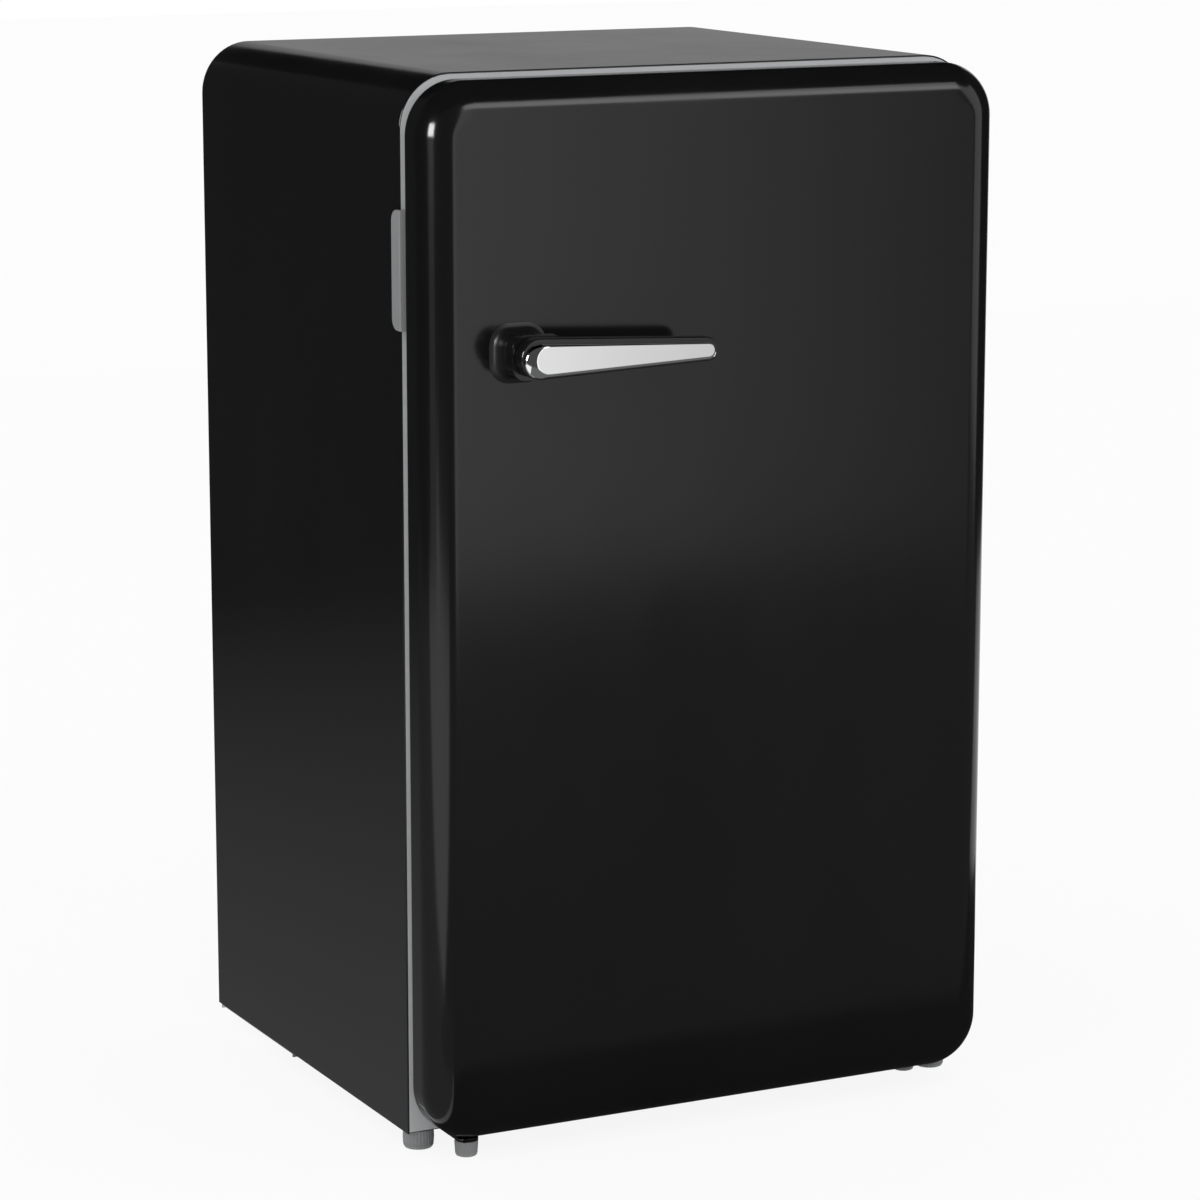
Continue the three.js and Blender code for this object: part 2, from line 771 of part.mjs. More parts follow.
function crisperDrawer() {
  const w = drawerWall;
  const outside = alongY(
    roundedRect(drawer.x, [drawer.z[0], drawer.z[1] + 20], linerCornerRadius - 2, 3),
    ...drawer.y,
  );
  const hollow = alongY(
    roundedRect(
      [drawer.x[0] + w, drawer.x[1] - w],
      [drawer.z[0] + w, stepTop + 20],
      linerCornerRadius - 2 - w,
      3,
    ),
    drawer.y[0] + w,
    drawer.y[1] - w,
  );
  const above = box(drawer.x.map((x) => x * 1.1), [0, cabinetDepth], [drawer.z[1], stepTop + 40]);
  const middle = (drawer.x[0] + drawer.x[1]) / 2;
  const grip = box(
    [middle - 60, middle + 60],
    [drawer.y[0] + w - overlap, drawer.y[0] + w + drawerGrip],
    [drawer.z[1] - 20, drawer.z[1] - 16],
  );
  return join(cut(outside, hollow, above), grip);
}

function crisperCover() {
  const z = [coverGlassBottom, coverGlassBottom + glassThickness];
  return box([-shelfHalfWidth, shelfHalfWidth], [shelfFront - coverGlassLead, cavityBack - shelfBackGap], z);
}

// ---- Door
// The door's pillow shape: a rounded slab whose front edge is rolled over, drawn in by an inset.
function doorPillow(inset, back) {
  const radius = doorCornerRadius - inset;
  const roll = doorEdgeRounding - inset;
  const outline = roundedRect(
    [-doorHalf + inset, doorHalf - inset],
    [doorBottom + inset, doorTop - inset],
    radius,
    7,
  );
  const shape = new THREE.Shape(outline.map(([a, b]) => new THREE.Vector2(a, b)));
  const front = doorFront + inset;
  const geometry = new THREE.ExtrudeGeometry(shape, {
    depth: 60,
    bevelEnabled: true,
    bevelSize: roll,
    bevelThickness: roll,
    bevelOffset: -roll,
    bevelSegments: 5,
  });
  geometry.rotateX(Math.PI / 2).translate(0, front + roll + 60, 0);
  const kept = box([-halfWidth - 1, halfWidth + 1], [doorFront - 1, back], [0, overallHeight]);
  return common(solidOf(geometry), kept);
}

// Turns a part of the upper hinge over, into its place at the lower hinge.
function turnedOver(solid) {
  return solid.mirror([0, 0, 1]).translate([0, 0, doorBottom + doorTop]);
}

// The slots in the door's right edge in which the hinges' arms turn.
function hingePockets(grow) {
  const upper = box(
    [hingeX - bushRadius - grow, doorHalf + doorCornerRadius],
    [doorBack - pocketDepth - grow, doorBack + 1],
    [upperHingeZ - armThickness - pocketBelow - grow, upperHingeZ + pocketAbove + grow],
  );
  return join(upper, turnedOver(upper));
}

const upperBushTop = upperHingeZ - armThickness - pocketBelow - contactGap;
const lowerBushBottom = doorBottom + doorTop - upperBushTop;

// The holes in the foam that hold the hinges' bushes.
function bushHoles() {
  const z = [upperBushTop - bushLength - contactGap, upperBushTop + contactGap + 1];
  const upper = rod(bushRadius + contactGap, [hingeX, hingeY], z, 24);
  return join(upper, turnedOver(upper));
}

function doorSkin() {
  const shell = cut(doorPillow(0, doorBack), doorPillow(skinThickness, doorBack + 1));
  return cut(shell, hingePockets(0));
}

const doorLinerFront = doorBack - linerThickness;

function doorFoam() {
  const body = doorPillow(skinThickness + contactGap, doorLinerFront - contactGap);
  return cut(body, hingePockets(pocketLining), bushHoles());
}

function doorLiner() {
  const outline = roundedRect(
    [-doorHalf + skinThickness + contactGap, doorHalf - skinThickness - contactGap],
    [doorBottom + skinThickness + contactGap, doorTop - skinThickness - contactGap],
    doorCornerRadius - skinThickness,
    7,
  );
  const plate = alongY(outline, doorLinerFront, doorBack);
  const { x, z0, z1 } = dykeBox;
  const w = dykeWidth;
  const dyke = alongY(roundedRect([-x, x], [z0, z1], 18, 4), doorBack - overlap, doorBack + dykeReach);
  const hollow = roundedRect([-x + w, x - w], [z0 + w, z1 - w], recessRadius, 3);
  const recess = alongY(hollow, doorBack, doorBack + dykeReach + 1);
  return cut(join(plate, cut(dyke, recess)), hingePockets(pocketLining));
}

function doorGasket() {
  const x = doorHalf - gasketInset;
  const z = [cavityFloor - gasketWidth - 3, cavityCeiling + gasketWidth + 3];
  const y = [doorBack + contactGap, -contactGap];
  const w = gasketWidth;
  const outside = alongY(roundedRect([-x, x], z, doorCornerRadius - gasketInset, 5), ...y);
  const inside = alongY(roundedRect([-x + w, x - w], [z[0] + w, z[1] - w], 9, 4), y[0] - 1, y[1] + 1);
  return cut(outside, inside);
}

function doorBin(floor, height) {
  const w = binWall;
  const y = [binBack, doorBack + binReach];
  const outline = (inset) =>
    roundedRect([-binHalfWidth + inset, binHalfWidth - inset], [y[0] + inset, y[1] - inset], 12 - inset, 3);
  const outside = common(
    alongZ(outline(0), floor, floor + height),
    box([-binHalfWidth, binHalfWidth], y, [floor, floor + height]),
  );
  return cut(outside, alongZ(outline(w), floor + w, floor + height + 1));
}

const binFloors = {
  middle: rackFloor + rackHeight + bottleRoom,
  upper: iceFrameBottom - dripTrayHeight - binHeight - upperBinDrop,
};

function hingeBush(bottom) {
  const body = rod(bushRadius, [hingeX, hingeY], [bottom, bottom + bushLength], 24);
  const bore = rod(pinRadius + pinClearance, [hingeX, hingeY], [bottom - 1, bottom + bushLength + 1], 24);
  return cut(body, bore);
}

// ---- Handle
// The face seen from the front: a round left end that tapers to a smaller round tip.
function handleOutline(grow, drop) {
  const left = [handleLeft + handleRadius, handleZ];
  const right = [handleLeft + handleLength - handleTipRadius, handleZ - drop];
  return [
    ...arc(left, handleRadius + grow, 96, 268, 9),
    ...arc(right, handleTipRadius + grow, -84, 88, 7),
  ];
}

const tipDrop = 1;

function handleCap() {
  const b = handleCapBevel;
  const shape = new THREE.Shape(handleOutline(0, tipDrop).map(([a, z]) => new THREE.Vector2(a, z)));
  const depth = handleCapThickness;
  const geometry = new THREE.ExtrudeGeometry(shape, {
    depth,
    bevelEnabled: true,
    bevelSize: b,
    bevelThickness: b,
    bevelOffset: -b,
    bevelSegments: 3,
  });
  const back = armFront - contactGap;
  geometry.rotateX(Math.PI / 2).translate(0, back + b, 0);
  const keep = box([-doorHalf, doorHalf], [doorFront - 200, back], [0, overallHeight]);
  return common(solidOf(geometry), keep);
}

const stem = {
  x: [handleLeft - 2, handleLeft - 2 + handleStemWidth],
  z: [handleZ - handleRadius - 1, handleZ + handleRadius + handleRim],
};

function handleArm() {
  const outline = handleOutline(handleRim / 2, tipDrop).map(([a, z]) => [a, z + handleRim / 2]);
  const bar = alongY(outline, armFront, armBack);
  const post = alongY(roundedRect(stem.x, stem.z, 10, 4), armBack - overlap, baseFront - contactGap);
  return join(bar, post);
}

function handleBase() {
  const flare = handleBaseFlare;
  const steps = 4;
  const layer = (i) => {
    const grow = flare * (1 - Math.sqrt(1 - ((steps - i) / steps) ** 2));
    const back = baseFront + (handleBaseThickness * (i === 0 ? 1 : (steps - i) / steps));
    return alongY(
      roundedRect([stem.x[0] - grow, stem.x[1] + grow], [stem.z[0] - grow, stem.z[1] + grow], 10 + grow, 4),
      baseFront,
      back,
    );
  };
  return join(...Array.from({ length: steps }, (_, i) => layer(i)));
}

// ---- Hinges and brackets
const hingeCoverTop = overallHeight - hingeCoverDrop;
const cornerPlate = { z: [hingeCoverTop - hingeCoverHeight, hingeCoverTop] };

// The side of a hinge cover, seen from the side: rounded towards the back.
function coverSide(front) {
  const [z0, z1] = cornerPlate.z;
  const r = hingeCoverRadius;
  const back = hingeCoverReach;
  return [
    [front, z0],
    ...arc([back - r, z0 + r], r, -90, 0, 5),
    ...arc([back - r, z1 - r], r, 0, 90, 5),
    [front, z1],
  ];
}

function hingeHoleCover() {
  const front = -contactGap - hingeFlangeThickness;
  const outer = halfWidth + contactGap + hingeCoverThickness;
  const side = alongX(coverSide(front), -outer, -halfWidth - contactGap);
  const lip = box([-outer, -halfWidth + hingeFlangeWidth], [front, -contactGap], cornerPlate.z);
  return join(side, lip);
}

function upperHingeCover() {
  const front = -contactGap - hingeFlangeThickness;
  return alongX(coverSide(front), halfWidth + contactGap, halfWidth + contactGap + hingeCoverThickness);
}

function upperHingeBracket() {
  const front = -contactGap - hingeFlangeThickness;
  const flange = box([halfWidth - hingeFlangeWidth, halfWidth], [front, -contactGap], cornerPlate.z);
  const z = [upperHingeZ - armThickness, upperHingeZ];
  const half = armWidth / 2;
  const eye = rod(half, [hingeX, hingeY], z, 20);
  const arm = box([hingeX - half, hingeX + half], [hingeY, front + overlap], z);
  const seat = rod(pinRadius - 1 + contactGap, [hingeX, hingeY], [z[0] - 1, z[1] + 1], 20);
  return cut(join(flange, eye, arm), seat);
}

function upperHingePin() {
  const top = upperHingeZ + contactGap + 2;
  const shoulder = upperHingeZ - armThickness - contactGap;
  const tip = upperBushTop - bushLength + 1;
  const neck = pinRadius - 1;
  const profile = [
    [0, tip],
    [pinRadius - 1, tip],
    [pinRadius, tip + 1],
    [pinRadius, shoulder],
    [neck, shoulder],
    [neck, top - 2],
    [pinRadius + 0.5, top - 2],
    [pinRadius + 0.5, top],
    [0, top],
  ];
  return turned(profile, [hingeX, hingeY], 24);
}

const levellerX = halfWidth - levellerInset;

// A steel strap screwed flat under the base pan that reaches out under the door.
function frontBracket() {
  const x = [-levellerX - bracketWidth / 2, -levellerX + bracketWidth / 2];
  const outline = roundedRect(x, [hingeY - bracketNose, bracketTail], bracketCorner, 3);
  const strap = alongZ(outline, plateTop - bracketThickness, plateTop);
  return cut(strap, rod(pinRadius + pinClearance, [-levellerX, hingeY], [0, footHeight], 20));
}

// The lower hinge's arm is the upper one's turned over; its pin has a collar that carries the door.
function lowerHingePin() {
  const armTop = doorBottom + doorTop - (upperHingeZ - armThickness);
  const armBottom = armTop - armThickness;
  const shoulder = lowerBushBottom - contactGap;
  const tip = lowerBushBottom + bushLength - 1;
  const neck = pinRadius - 1;
  const profile = [
    [0, armBottom - contactGap - pinHeadHeight],
    [pinRadius + 0.5, armBottom - contactGap - pinHeadHeight],
    [pinRadius + 0.5, armBottom - contactGap],
    [neck, armBottom - contactGap],
    [neck, armTop + contactGap],
    [collarRadius, armTop + contactGap],
    [collarRadius, shoulder],
    [pinRadius, shoulder],
    [pinRadius, tip - 1],
    [pinRadius - 1, tip],
    [0, tip],
  ];
  return turned(profile, [hingeX, hingeY], 24);
}

// ---- Feet
function frontFoot(side) {
  const at = [side * (halfWidth - frontFootInset), frontFootSetback];
  const sole = frontFootRadius - 1;
  return turned([[0, 0], [sole, 0], [frontFootRadius, plateTop], [0, plateTop]], at, 28);
}

// A foot that screws in or out: a pad to turn by hand, with its stud running up to what holds it.
function levellingFoot(at) {
  const pad = plateTop - bracketThickness - contactGap;
  const profile = [
    [0, 0],
    [levellerRadius - 1, 0],
    [levellerRadius, 1],
    [levellerRadius, pad],
    [pinRadius, pad],
    [pinRadius, plateTop],
    [0, plateTop],
  ];
  return turned(profile, at, 24);
}

function rearFoot(side) {
  const top = plateTop - plateThickness - contactGap;
  const at = [side * (halfWidth - rearFootInset), rearFootSetback];
  return turned([[0, 0], [rearFootRadius - 1, 0], [rearFootRadius, top], [0, top]], at, 24);
}

// ---- Assembly
add("outer_shell", outerShell(), "blackEnamel");
add("back_panel", backPanel(), "galvanised");
add("front_frame", frontFrame(), "frameGrey");
add("insulation_foam", insulation(), "foam");
add("inner_liner", innerLiner(), "whitePlastic");
add("base_pan", basePan(), "galvanised");
add("compressor_bay_panel", bayPanel(), "galvanised");
add("compressor_plate", compressorPlate(), "galvanised");
add("compressor", compressor(), "compressorBlack");
add("compressor_grommet_front_left", grommet(-1, -1), "rubber");
add("compressor_grommet_front_right", grommet(1, -1), "rubber");
add("compressor_grommet_rear_left", grommet(-1, 1), "rubber");
add("compressor_grommet_rear_right", grommet(1, 1), "rubber");
add("start_relay_cover", relayCover(), "rubber");
add("drain_pan", drainPan(), "whitePlastic");
add("drain_tube", drainTube(), "greyPlastic");
add("filter_drier", filterDrier(), "copper");
add("discharge_pipe", risingPipe(-28, compressorBase + 110, 22), "copper");
add("suction_pipe", risingPipe(180, compressorBase + 84, 26), "copper");
add("mains_cord_gland", cordGland(), "rubber");
add("condenser_coil", condenserCoil(), "compressorBlack");

add("evaporator_box", evaporatorBox(), "aluminium");
add("ice_box_frame", iceBoxFrame(), "whitePlastic");
add("ice_box_flap", iceBoxFlap(), "whitePlastic");
add("drip_tray", dripTray(), "clearPlastic");
add("thermostat_housing", thermostatHousing(), "whitePlastic");
add("thermostat_knob", thermostatKnob(), "greyPlastic");
add("lamp_lens", lampLens(), "clearPlastic");
add("lamp", lamp(), "glass");

shelfLevels.forEach((level, i) => {
  const which = ["lower", "upper"][i];
  add(`glass_shelf_${which}`, glassShelf(level), "glass");
  add(`shelf_trim_${which}`, shelfTrim(level), "whitePlastic");
});
add("crisper_cover_glass", crisperCover(), "glass");
add("crisper_drawer", crisperDrawer(), "clearPlastic");

add("door_skin", doorSkin(), "blackEnamel");
add("door_foam", doorFoam(), "foam");
add("door_liner", doorLiner(), "whitePlastic");
add("door_gasket", doorGasket(), "gasket");
add("door_bottle_rack", doorBin(rackFloor, rackHeight), "clearPlastic");
add("door_bin_middle", doorBin(binFloors.middle, binHeight), "clearPlastic");
add("door_bin_upper", doorBin(binFloors.upper, binHeight), "clearPlastic");
add("upper_hinge_bush", hingeBush(upperBushTop - bushLength), "whitePlastic");
add("lower_hinge_bush", hingeBush(lowerBushBottom), "whitePlastic");
add("handle_base", handleBase(), "blackEnamel");
add("handle_arm", handleArm(), "blackEnamel");
add("handle_face", handleCap(), "chrome");

add("upper_hinge_bracket", upperHingeBracket(), "zincSteel");
add("upper_hinge_pin", upperHingePin(), "zincSteel");
add("upper_hinge_cover", upperHingeCover(), "greyPlastic");
add("hinge_hole_cover", hingeHoleCover(), "greyPlastic");
add("lower_hinge_bracket", turnedOver(upperHingeBracket()), "zincSteel");
add("lower_hinge_pin", lowerHingePin(), "zincSteel");
add("left_foot_bracket", frontBracket(), "blackEnamel");
add("levelling_foot_left", levellingFoot([-levellerX, hingeY]), "greyPlastic");
add("levelling_foot_right", levellingFoot([levellerX, rightLevellerSetback]), "greyPlastic");

[
  ["left", -1],
  ["right", 1],
].forEach(([name, side]) => {
  add(`front_foot_${name}`, frontFoot(side), "greyPlastic");
  add(`rear_foot_${name}`, rearFoot(side), "greyPlastic");
});

// The origin is the middle of the floor that the whole fridge covers, its handle included.
const handleFaceY = armFront - contactGap - handleCapThickness;
fridge.position.y = -(handleFaceY + cabinetDepth) / 2;

export default fridge;
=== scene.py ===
import math

import bmesh
import bpy
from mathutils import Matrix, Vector

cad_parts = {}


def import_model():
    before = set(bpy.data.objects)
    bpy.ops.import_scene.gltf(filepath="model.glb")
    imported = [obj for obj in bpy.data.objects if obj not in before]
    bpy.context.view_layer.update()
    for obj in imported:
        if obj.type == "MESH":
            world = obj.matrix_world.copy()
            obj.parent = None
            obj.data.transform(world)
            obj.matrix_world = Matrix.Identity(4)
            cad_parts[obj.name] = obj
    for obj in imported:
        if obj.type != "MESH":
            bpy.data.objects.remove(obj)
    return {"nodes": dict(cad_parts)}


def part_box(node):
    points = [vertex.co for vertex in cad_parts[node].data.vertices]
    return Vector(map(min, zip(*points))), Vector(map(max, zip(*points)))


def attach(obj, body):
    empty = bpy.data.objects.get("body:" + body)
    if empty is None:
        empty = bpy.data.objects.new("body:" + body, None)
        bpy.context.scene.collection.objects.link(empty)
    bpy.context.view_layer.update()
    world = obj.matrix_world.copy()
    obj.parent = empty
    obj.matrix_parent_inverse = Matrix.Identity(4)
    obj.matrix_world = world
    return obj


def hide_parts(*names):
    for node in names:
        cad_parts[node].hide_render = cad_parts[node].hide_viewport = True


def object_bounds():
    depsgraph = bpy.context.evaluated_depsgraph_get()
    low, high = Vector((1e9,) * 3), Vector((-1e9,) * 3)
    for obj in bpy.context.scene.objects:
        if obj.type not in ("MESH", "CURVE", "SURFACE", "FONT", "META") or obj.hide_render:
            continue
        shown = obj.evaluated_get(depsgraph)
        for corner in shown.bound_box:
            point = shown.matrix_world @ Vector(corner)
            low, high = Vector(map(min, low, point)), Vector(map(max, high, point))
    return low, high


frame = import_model()
cad_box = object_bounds()

# ---- Sizes of the finer shapes, in metres
DOOR_SIDE_ROLL = 0.0255
DOOR_TOP_ROLL = 0.030
DOOR_ROLL_DEPTH = 0.022
DOOR_CORNER = 0.042
DOOR_HEM = 0.0012
DOOR_RECESS = 0.0024
WRAP_CORNER = 0.042
WRAP_SHEET = 0.0011
WRAP_EDGE = 0.0010
POCKET_HEIGHT = 0.036
POCKET_DEPTH = 0.023
ARM_BELOW_PIN_HEAD = 0.0083
BEAD_WIDTH = 0.014
CHROME_LEFT_BEVEL = 0.0095
CHROME_TIP_BEVEL = 0.0035
CHROME_DEPTH = 0.0040
CHROME_CROWN = 0.72
HANDLE_LEFT = 0.0135
HANDLE_TIP = 0.007
HANDLE_RIM = 0.004
HANDLE_SEAM = 0.0004
GASKET_WIDTH = 0.018
SCREW_HEAD = 0.0042
FOOT_STRAP = 0.0033
STRAP_HALF_WIDTH = 0.0085
FLUTES = 28
FLUTE_DEPTH = 0.00035
DIAL_LOBES = 18
DIAL_LOBE_DEPTH = 0.0007

# ---- Light and camera
CAMERA_AT = (-1.5313, -3.0296, 1.0753)
CAMERA_HEADING = 26.755
CAMERA_PITCH = 11.344
CAMERA_LENS = 125.67
DIFFUSE_LEVEL = 0.8


# ================================================================ outlines and meshes
def corner_points(centre, radii, quarter, steps):
    """Points round one quarter of an ellipse, from the quarter's first side to its second."""
    angles = [math.pi / 2 * (quarter + k / steps) for k in range(steps + 1)]
    return [(centre[0] + radii[0] * math.cos(a), centre[1] + radii[1] * math.sin(a)) for a in angles]


def rounded(u, v, across, low=None, high=None, steps=10):
    """A rounded rectangle. Its corners are elliptical where low or high differs from across."""
    low = across if low is None else low
    high = across if high is None else high
    return [
        *corner_points((u[1] - across, v[0] + low), (across, low), 3, steps),
        *corner_points((u[1] - across, v[1] - high), (across, high), 0, steps),
        *corner_points((u[0] + across, v[1] - high), (across, high), 1, steps),
        *corner_points((u[0] + across, v[0] + low), (across, low), 2, steps),
    ]


def circle(centre, radius, steps=48):
    """Points round a circle."""
    angles = [2 * math.pi * k / steps for k in range(steps)]
    return [(centre[0] + radius * math.cos(a), centre[1] + radius * math.sin(a)) for a in angles]


def place(axis, outline, level):
    """An outline set square to an axis, at a level along it."""
    if axis == "x":
        return [(level, a, b) for a, b in outline]
    if axis == "y":
        return [(a, level, b) for a, b in outline]
    return [(a, b, level) for a, b in outline]


def loft(rings, wrap=False):
    """A skin over rings of equal length, capped at its ends or led back to its first ring."""
    size, count = len(rings[0]), len(rings)
    points = [p for ring in rings for p in ring]
    faces = []
    for i in range(count if wrap else count - 1):
        a, b = i * size, (i + 1) % count * size
        faces += [(a + j, a + (j + 1) % size, b + (j + 1) % size, b + j) for j in range(size)]
    if not wrap:
        faces += [tuple(range(size))[::-1], tuple(range((count - 1) * size, count * size))]
    return points, faces


def pad(axis, u, v, w, corner, edge, steps=4):
    """A block with a rounded outline and rolled edges at both of its ends."""
    turns = [math.pi / 2 * k / steps for k in range(steps + 1)]
    insets = [edge * (1 - math.sin(t)) for t in turns]
    levels = [w[0] + edge * (1 - math.cos(t)) for t in turns]
    insets += insets[::-1]
    levels += [w[0] + w[1] - level for level in levels[::-1]]
    rings = [
        place(axis, rounded((u[0] + i, u[1] - i), (v[0] + i, v[1] - i), max(corner - i, 1e-4)), level)
        for i, level in zip(insets, levels)
    ]
    return loft(rings)


def turned(axis, centre, profile, steps=48):
    """A turned part: a profile of (radius, level) pairs carried round an axis."""
    return loft([place(axis, circle(centre, max(radius, 1e-5), steps), level) for radius, level in profile])


def span(node):
    """A CAD node's extent along x, y and z, each as a pair."""
    low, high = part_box(node)
    return [(low[i], high[i]) for i in range(3)]


def middle(pair):
    """The middle of a pair."""
    return (pair[0] + pair[1]) / 2


def piece(name, shapes, finish, body, stands_for=(), smooth=32):
    """Makes one object of several shapes, smooth over edges flatter than the given angle."""
    mesh = bpy.data.meshes.new(name)
    points, faces = [], []
    for shape_points, shape_faces in shapes:
        faces += [tuple(i + len(points) for i in face) for face in shape_faces]
        points += shape_points
    mesh.from_pydata(points, [], faces)
    form = bmesh.new()
    form.from_mesh(mesh)
    bmesh.ops.recalc_face_normals(form, faces=form.faces)
    form.to_mesh(mesh)
    form.free()
    mesh.shade_smooth()
    mesh.set_sharp_from_angle(angle=math.radians(smooth))
    mesh.materials.append(finish)
    made = bpy.data.objects.new(name, mesh)
    bpy.context.scene.collection.objects.link(made)
    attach(made, body)
    if stands_for:
        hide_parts(*stands_for)
    return flattened(made)


def flattened(made):
    """Shades an object's flat faces flat, with the turn kept to its rounded edges."""
    weighted = made.modifiers.new("weighted", "WEIGHTED_NORMAL")
    weighted.mode = "FACE_AREA"
    weighted.keep_sharp = True
    return made


def carve(made, cutters, smooth=32):
    """Cuts the cutters' shapes out of an object for good."""
    tool_mesh = bpy.data.meshes.new("cutter")
    points, faces = [], []
    for shape_points, shape_faces in cutters:
        faces += [tuple(i + len(points) for i in face) for face in shape_faces]
        points += shape_points
    tool_mesh.from_pydata(points, [], faces)
    tool = bpy.data.objects.new("cutter", tool_mesh)
    bpy.context.scene.collection.objects.link(tool)
    modifier = made.modifiers.new("carve", "BOOLEAN")
    modifier.operation = "DIFFERENCE"
    modifier.solver = "EXACT"
    modifier.object = tool
    made.modifiers.remove(made.modifiers["weighted"])
    carved = bpy.data.meshes.new_from_object(made.evaluated_get(bpy.context.evaluated_depsgraph_get()))
    made.modifiers.clear()
    made.data = carved
    carved.shade_smooth()
    carved.set_sharp_from_angle(angle=math.radians(smooth))
    bpy.data.objects.remove(tool)
    return flattened(made)


def soften(made, width, segments=2):
    """Breaks an object's sharp edges by a small radius."""
    bevel = made.modifiers.new("broken_edges", "BEVEL")
    bevel.width = width
    bevel.segments = segments
    bevel.limit_method = "ANGLE"
    bevel.angle_limit = math.radians(38)
    bevel.harden_normals = True
    return made


def dress(node, finish, edge=0.0, rounder=0):
    """Gives a CAD node its finish, and soft edges or rounder curves by modifiers."""
    made = frame["nodes"][node]
    made.data.materials.clear()
    made.data.materials.append(finish)
    weld = made.modifiers.new("weld", "WELD")
    weld.merge_threshold = 1e-5
    made.data.shade_smooth()
    if rounder:
        made.modifiers.new("rounder", "SUBSURF").render_levels = rounder
        return made
    if edge:
        soften(made, edge)
    made.data.set_sharp_from_angle(angle=math.radians(32))
    return made


# ================================================================ finishes
class Signal:
    """One output of a finish's nodes. Expressions on it add the Math nodes."""

    def __init__(self, finish, socket):
        self.finish = finish
        self.socket = socket

    def math(self, operation, *others):
        values = dict(enumerate([self, *others]))
        return self.finish.node("ShaderNodeMath", {"operation": operation}, values)

    def __add__(self, other):
        return self.math("ADD", other)

    def __mul__(self, other):
        return self.math("MULTIPLY", other)

    def __sub__(self, other):
        return self.math("SUBTRACT", other)

    __radd__ = __add__
    __rmul__ = __mul__

    def within(self, low, high):
        """0 at low, 1 at high, and held between them."""
        values = {"Value": self, "From Min": low, "From Max": high}
        return self.finish.node("ShaderNodeMapRange", {"clamp": True}, values)


class Nodes:
    """A node tree, and the two methods that fill it."""

    def __init__(self, tree):
        self.tree = tree

    def feed(self, socket, value):
        if isinstance(value, Signal):
            self.tree.links.new(value.socket, socket)
        else:
            socket.default_value = value

    def node(self, kind, settings=None, values=None, output=0):
        """Any node: its type, its settings, then the values or links of its sockets."""
        made = self.tree.nodes.new(kind)
        for name, value in (settings or {}).items():
            setattr(made, name, value)
        for name, value in (values or {}).items():
            self.feed(made.inputs[name], value)
        return Signal(self, made.outputs[output])

    def seen(self):
        """1 for what the camera, gloss and glass see, and 0 for light on the object."""
        path = self.node("ShaderNodeLightPath").socket.node.outputs
        rays = [Signal(self, path[f"Is {kind} Ray"]) for kind in ("Camera", "Glossy", "Transmission")]
        return rays[0].math("MAXIMUM", rays[1]).math("MAXIMUM", rays[2])


class Finish(Nodes):
    """A material in the making: one Principled shader and what feeds it."""

    def __init__(self, name, colour, roughness, **constants):
        self.material = bpy.data.materials.new(name)
        self.material.use_nodes = True
        super().__init__(self.material.node_tree)
        self.shader = self.tree.nodes["Principled BSDF"]
        self.set("Base Color", (*colour, 1))
        self.set("Roughness", roughness)
        for socket, value in constants.items():
            self.set(socket.replace("_", " "), value)
        self.place = self.node("ShaderNodeTexCoord", output="Object")

    def set(self, socket, value):
        self.feed(self.shader.inputs[socket], value)

    def stretched(self, scale):
        """The place on the surface, scaled differently along x, y and z."""
        return self.node("ShaderNodeVectorMath", {"operation": "MULTIPLY"}, {0: self.place, 1: scale})

    def noise(self, scale, detail=3, roughness=0.55, at=None):
        """Cloudy noise from 0 to 1, with so many clouds to the metre."""
        values = {"Vector": at or self.place, "Scale": scale, "Detail": detail, "Roughness": roughness}
        return self.node("ShaderNodeTexNoise", {}, values)

    def cells(self, scale, feature="F1", output="Distance", at=None):
        """Cellular noise: the distance from the cell's centre, or its random colour."""
        values = {"Vector": at or self.place, "Scale": scale}
        return self.node("ShaderNodeTexVoronoi", {"feature": feature}, values, output)

    def shades(self, mask, dark, light):
        """A colour between two, by a mask."""
        values = {0: mask, 6: (*dark, 1), 7: (*light, 1)}
        return self.node("ShaderNodeMix", {"data_type": "RGBA"}, values, 2)

    def bump(self, height, depth):
        """Relief of the given depth in metres."""
        values = {"Height": height, "Distance": depth, "Strength": 1.0}
        self.set("Normal", self.node("ShaderNodeBump", {}, values))


def dusty(finish, density=1.0):
    """Fine specks of dust, as a mask."""
    return (finish.cells(420) * -1 + 0.12 * density).within(0, 0.05)


def stoved_enamel(name, roughness, peel):
    """Black stove enamel on sheet steel, with orange peel, faint wiping marks and dust."""
    f = Finish(name, (0.006, 0.006, 0.0065), roughness, IOR=1.5)
    smears = f.noise(7, 4, 0.6, f.stretched((1, 1, 0.35)))
    specks = dusty(f, 0.35)
    dirt = specks * 0.5 + smears * 0.25
    f.set("Base Color", f.shades(dirt, (0.0052, 0.0052, 0.0056), (0.014, 0.014, 0.0145)))
    f.set("Roughness", smears.within(0.35, 0.75) * 0.06 + specks * 0.2 + roughness)
    f.bump(f.noise(300, 2) + f.noise(90, 1) * 0.8, peel)
    return f.material


def grey_paint(name):
    """Light grey paint on the folded front frame, with a fine sprayed texture."""
    f = Finish(name, (0.5, 0.51, 0.52), 0.42, IOR=1.5)
    cloud = f.noise(25, 4)
    f.set("Base Color", f.shades(cloud, (0.46, 0.47, 0.485), (0.56, 0.57, 0.575)))
    f.set("Roughness", cloud * 0.12 + 0.36)
    f.bump(f.noise(1200, 3), 0.00003)
    return f.material


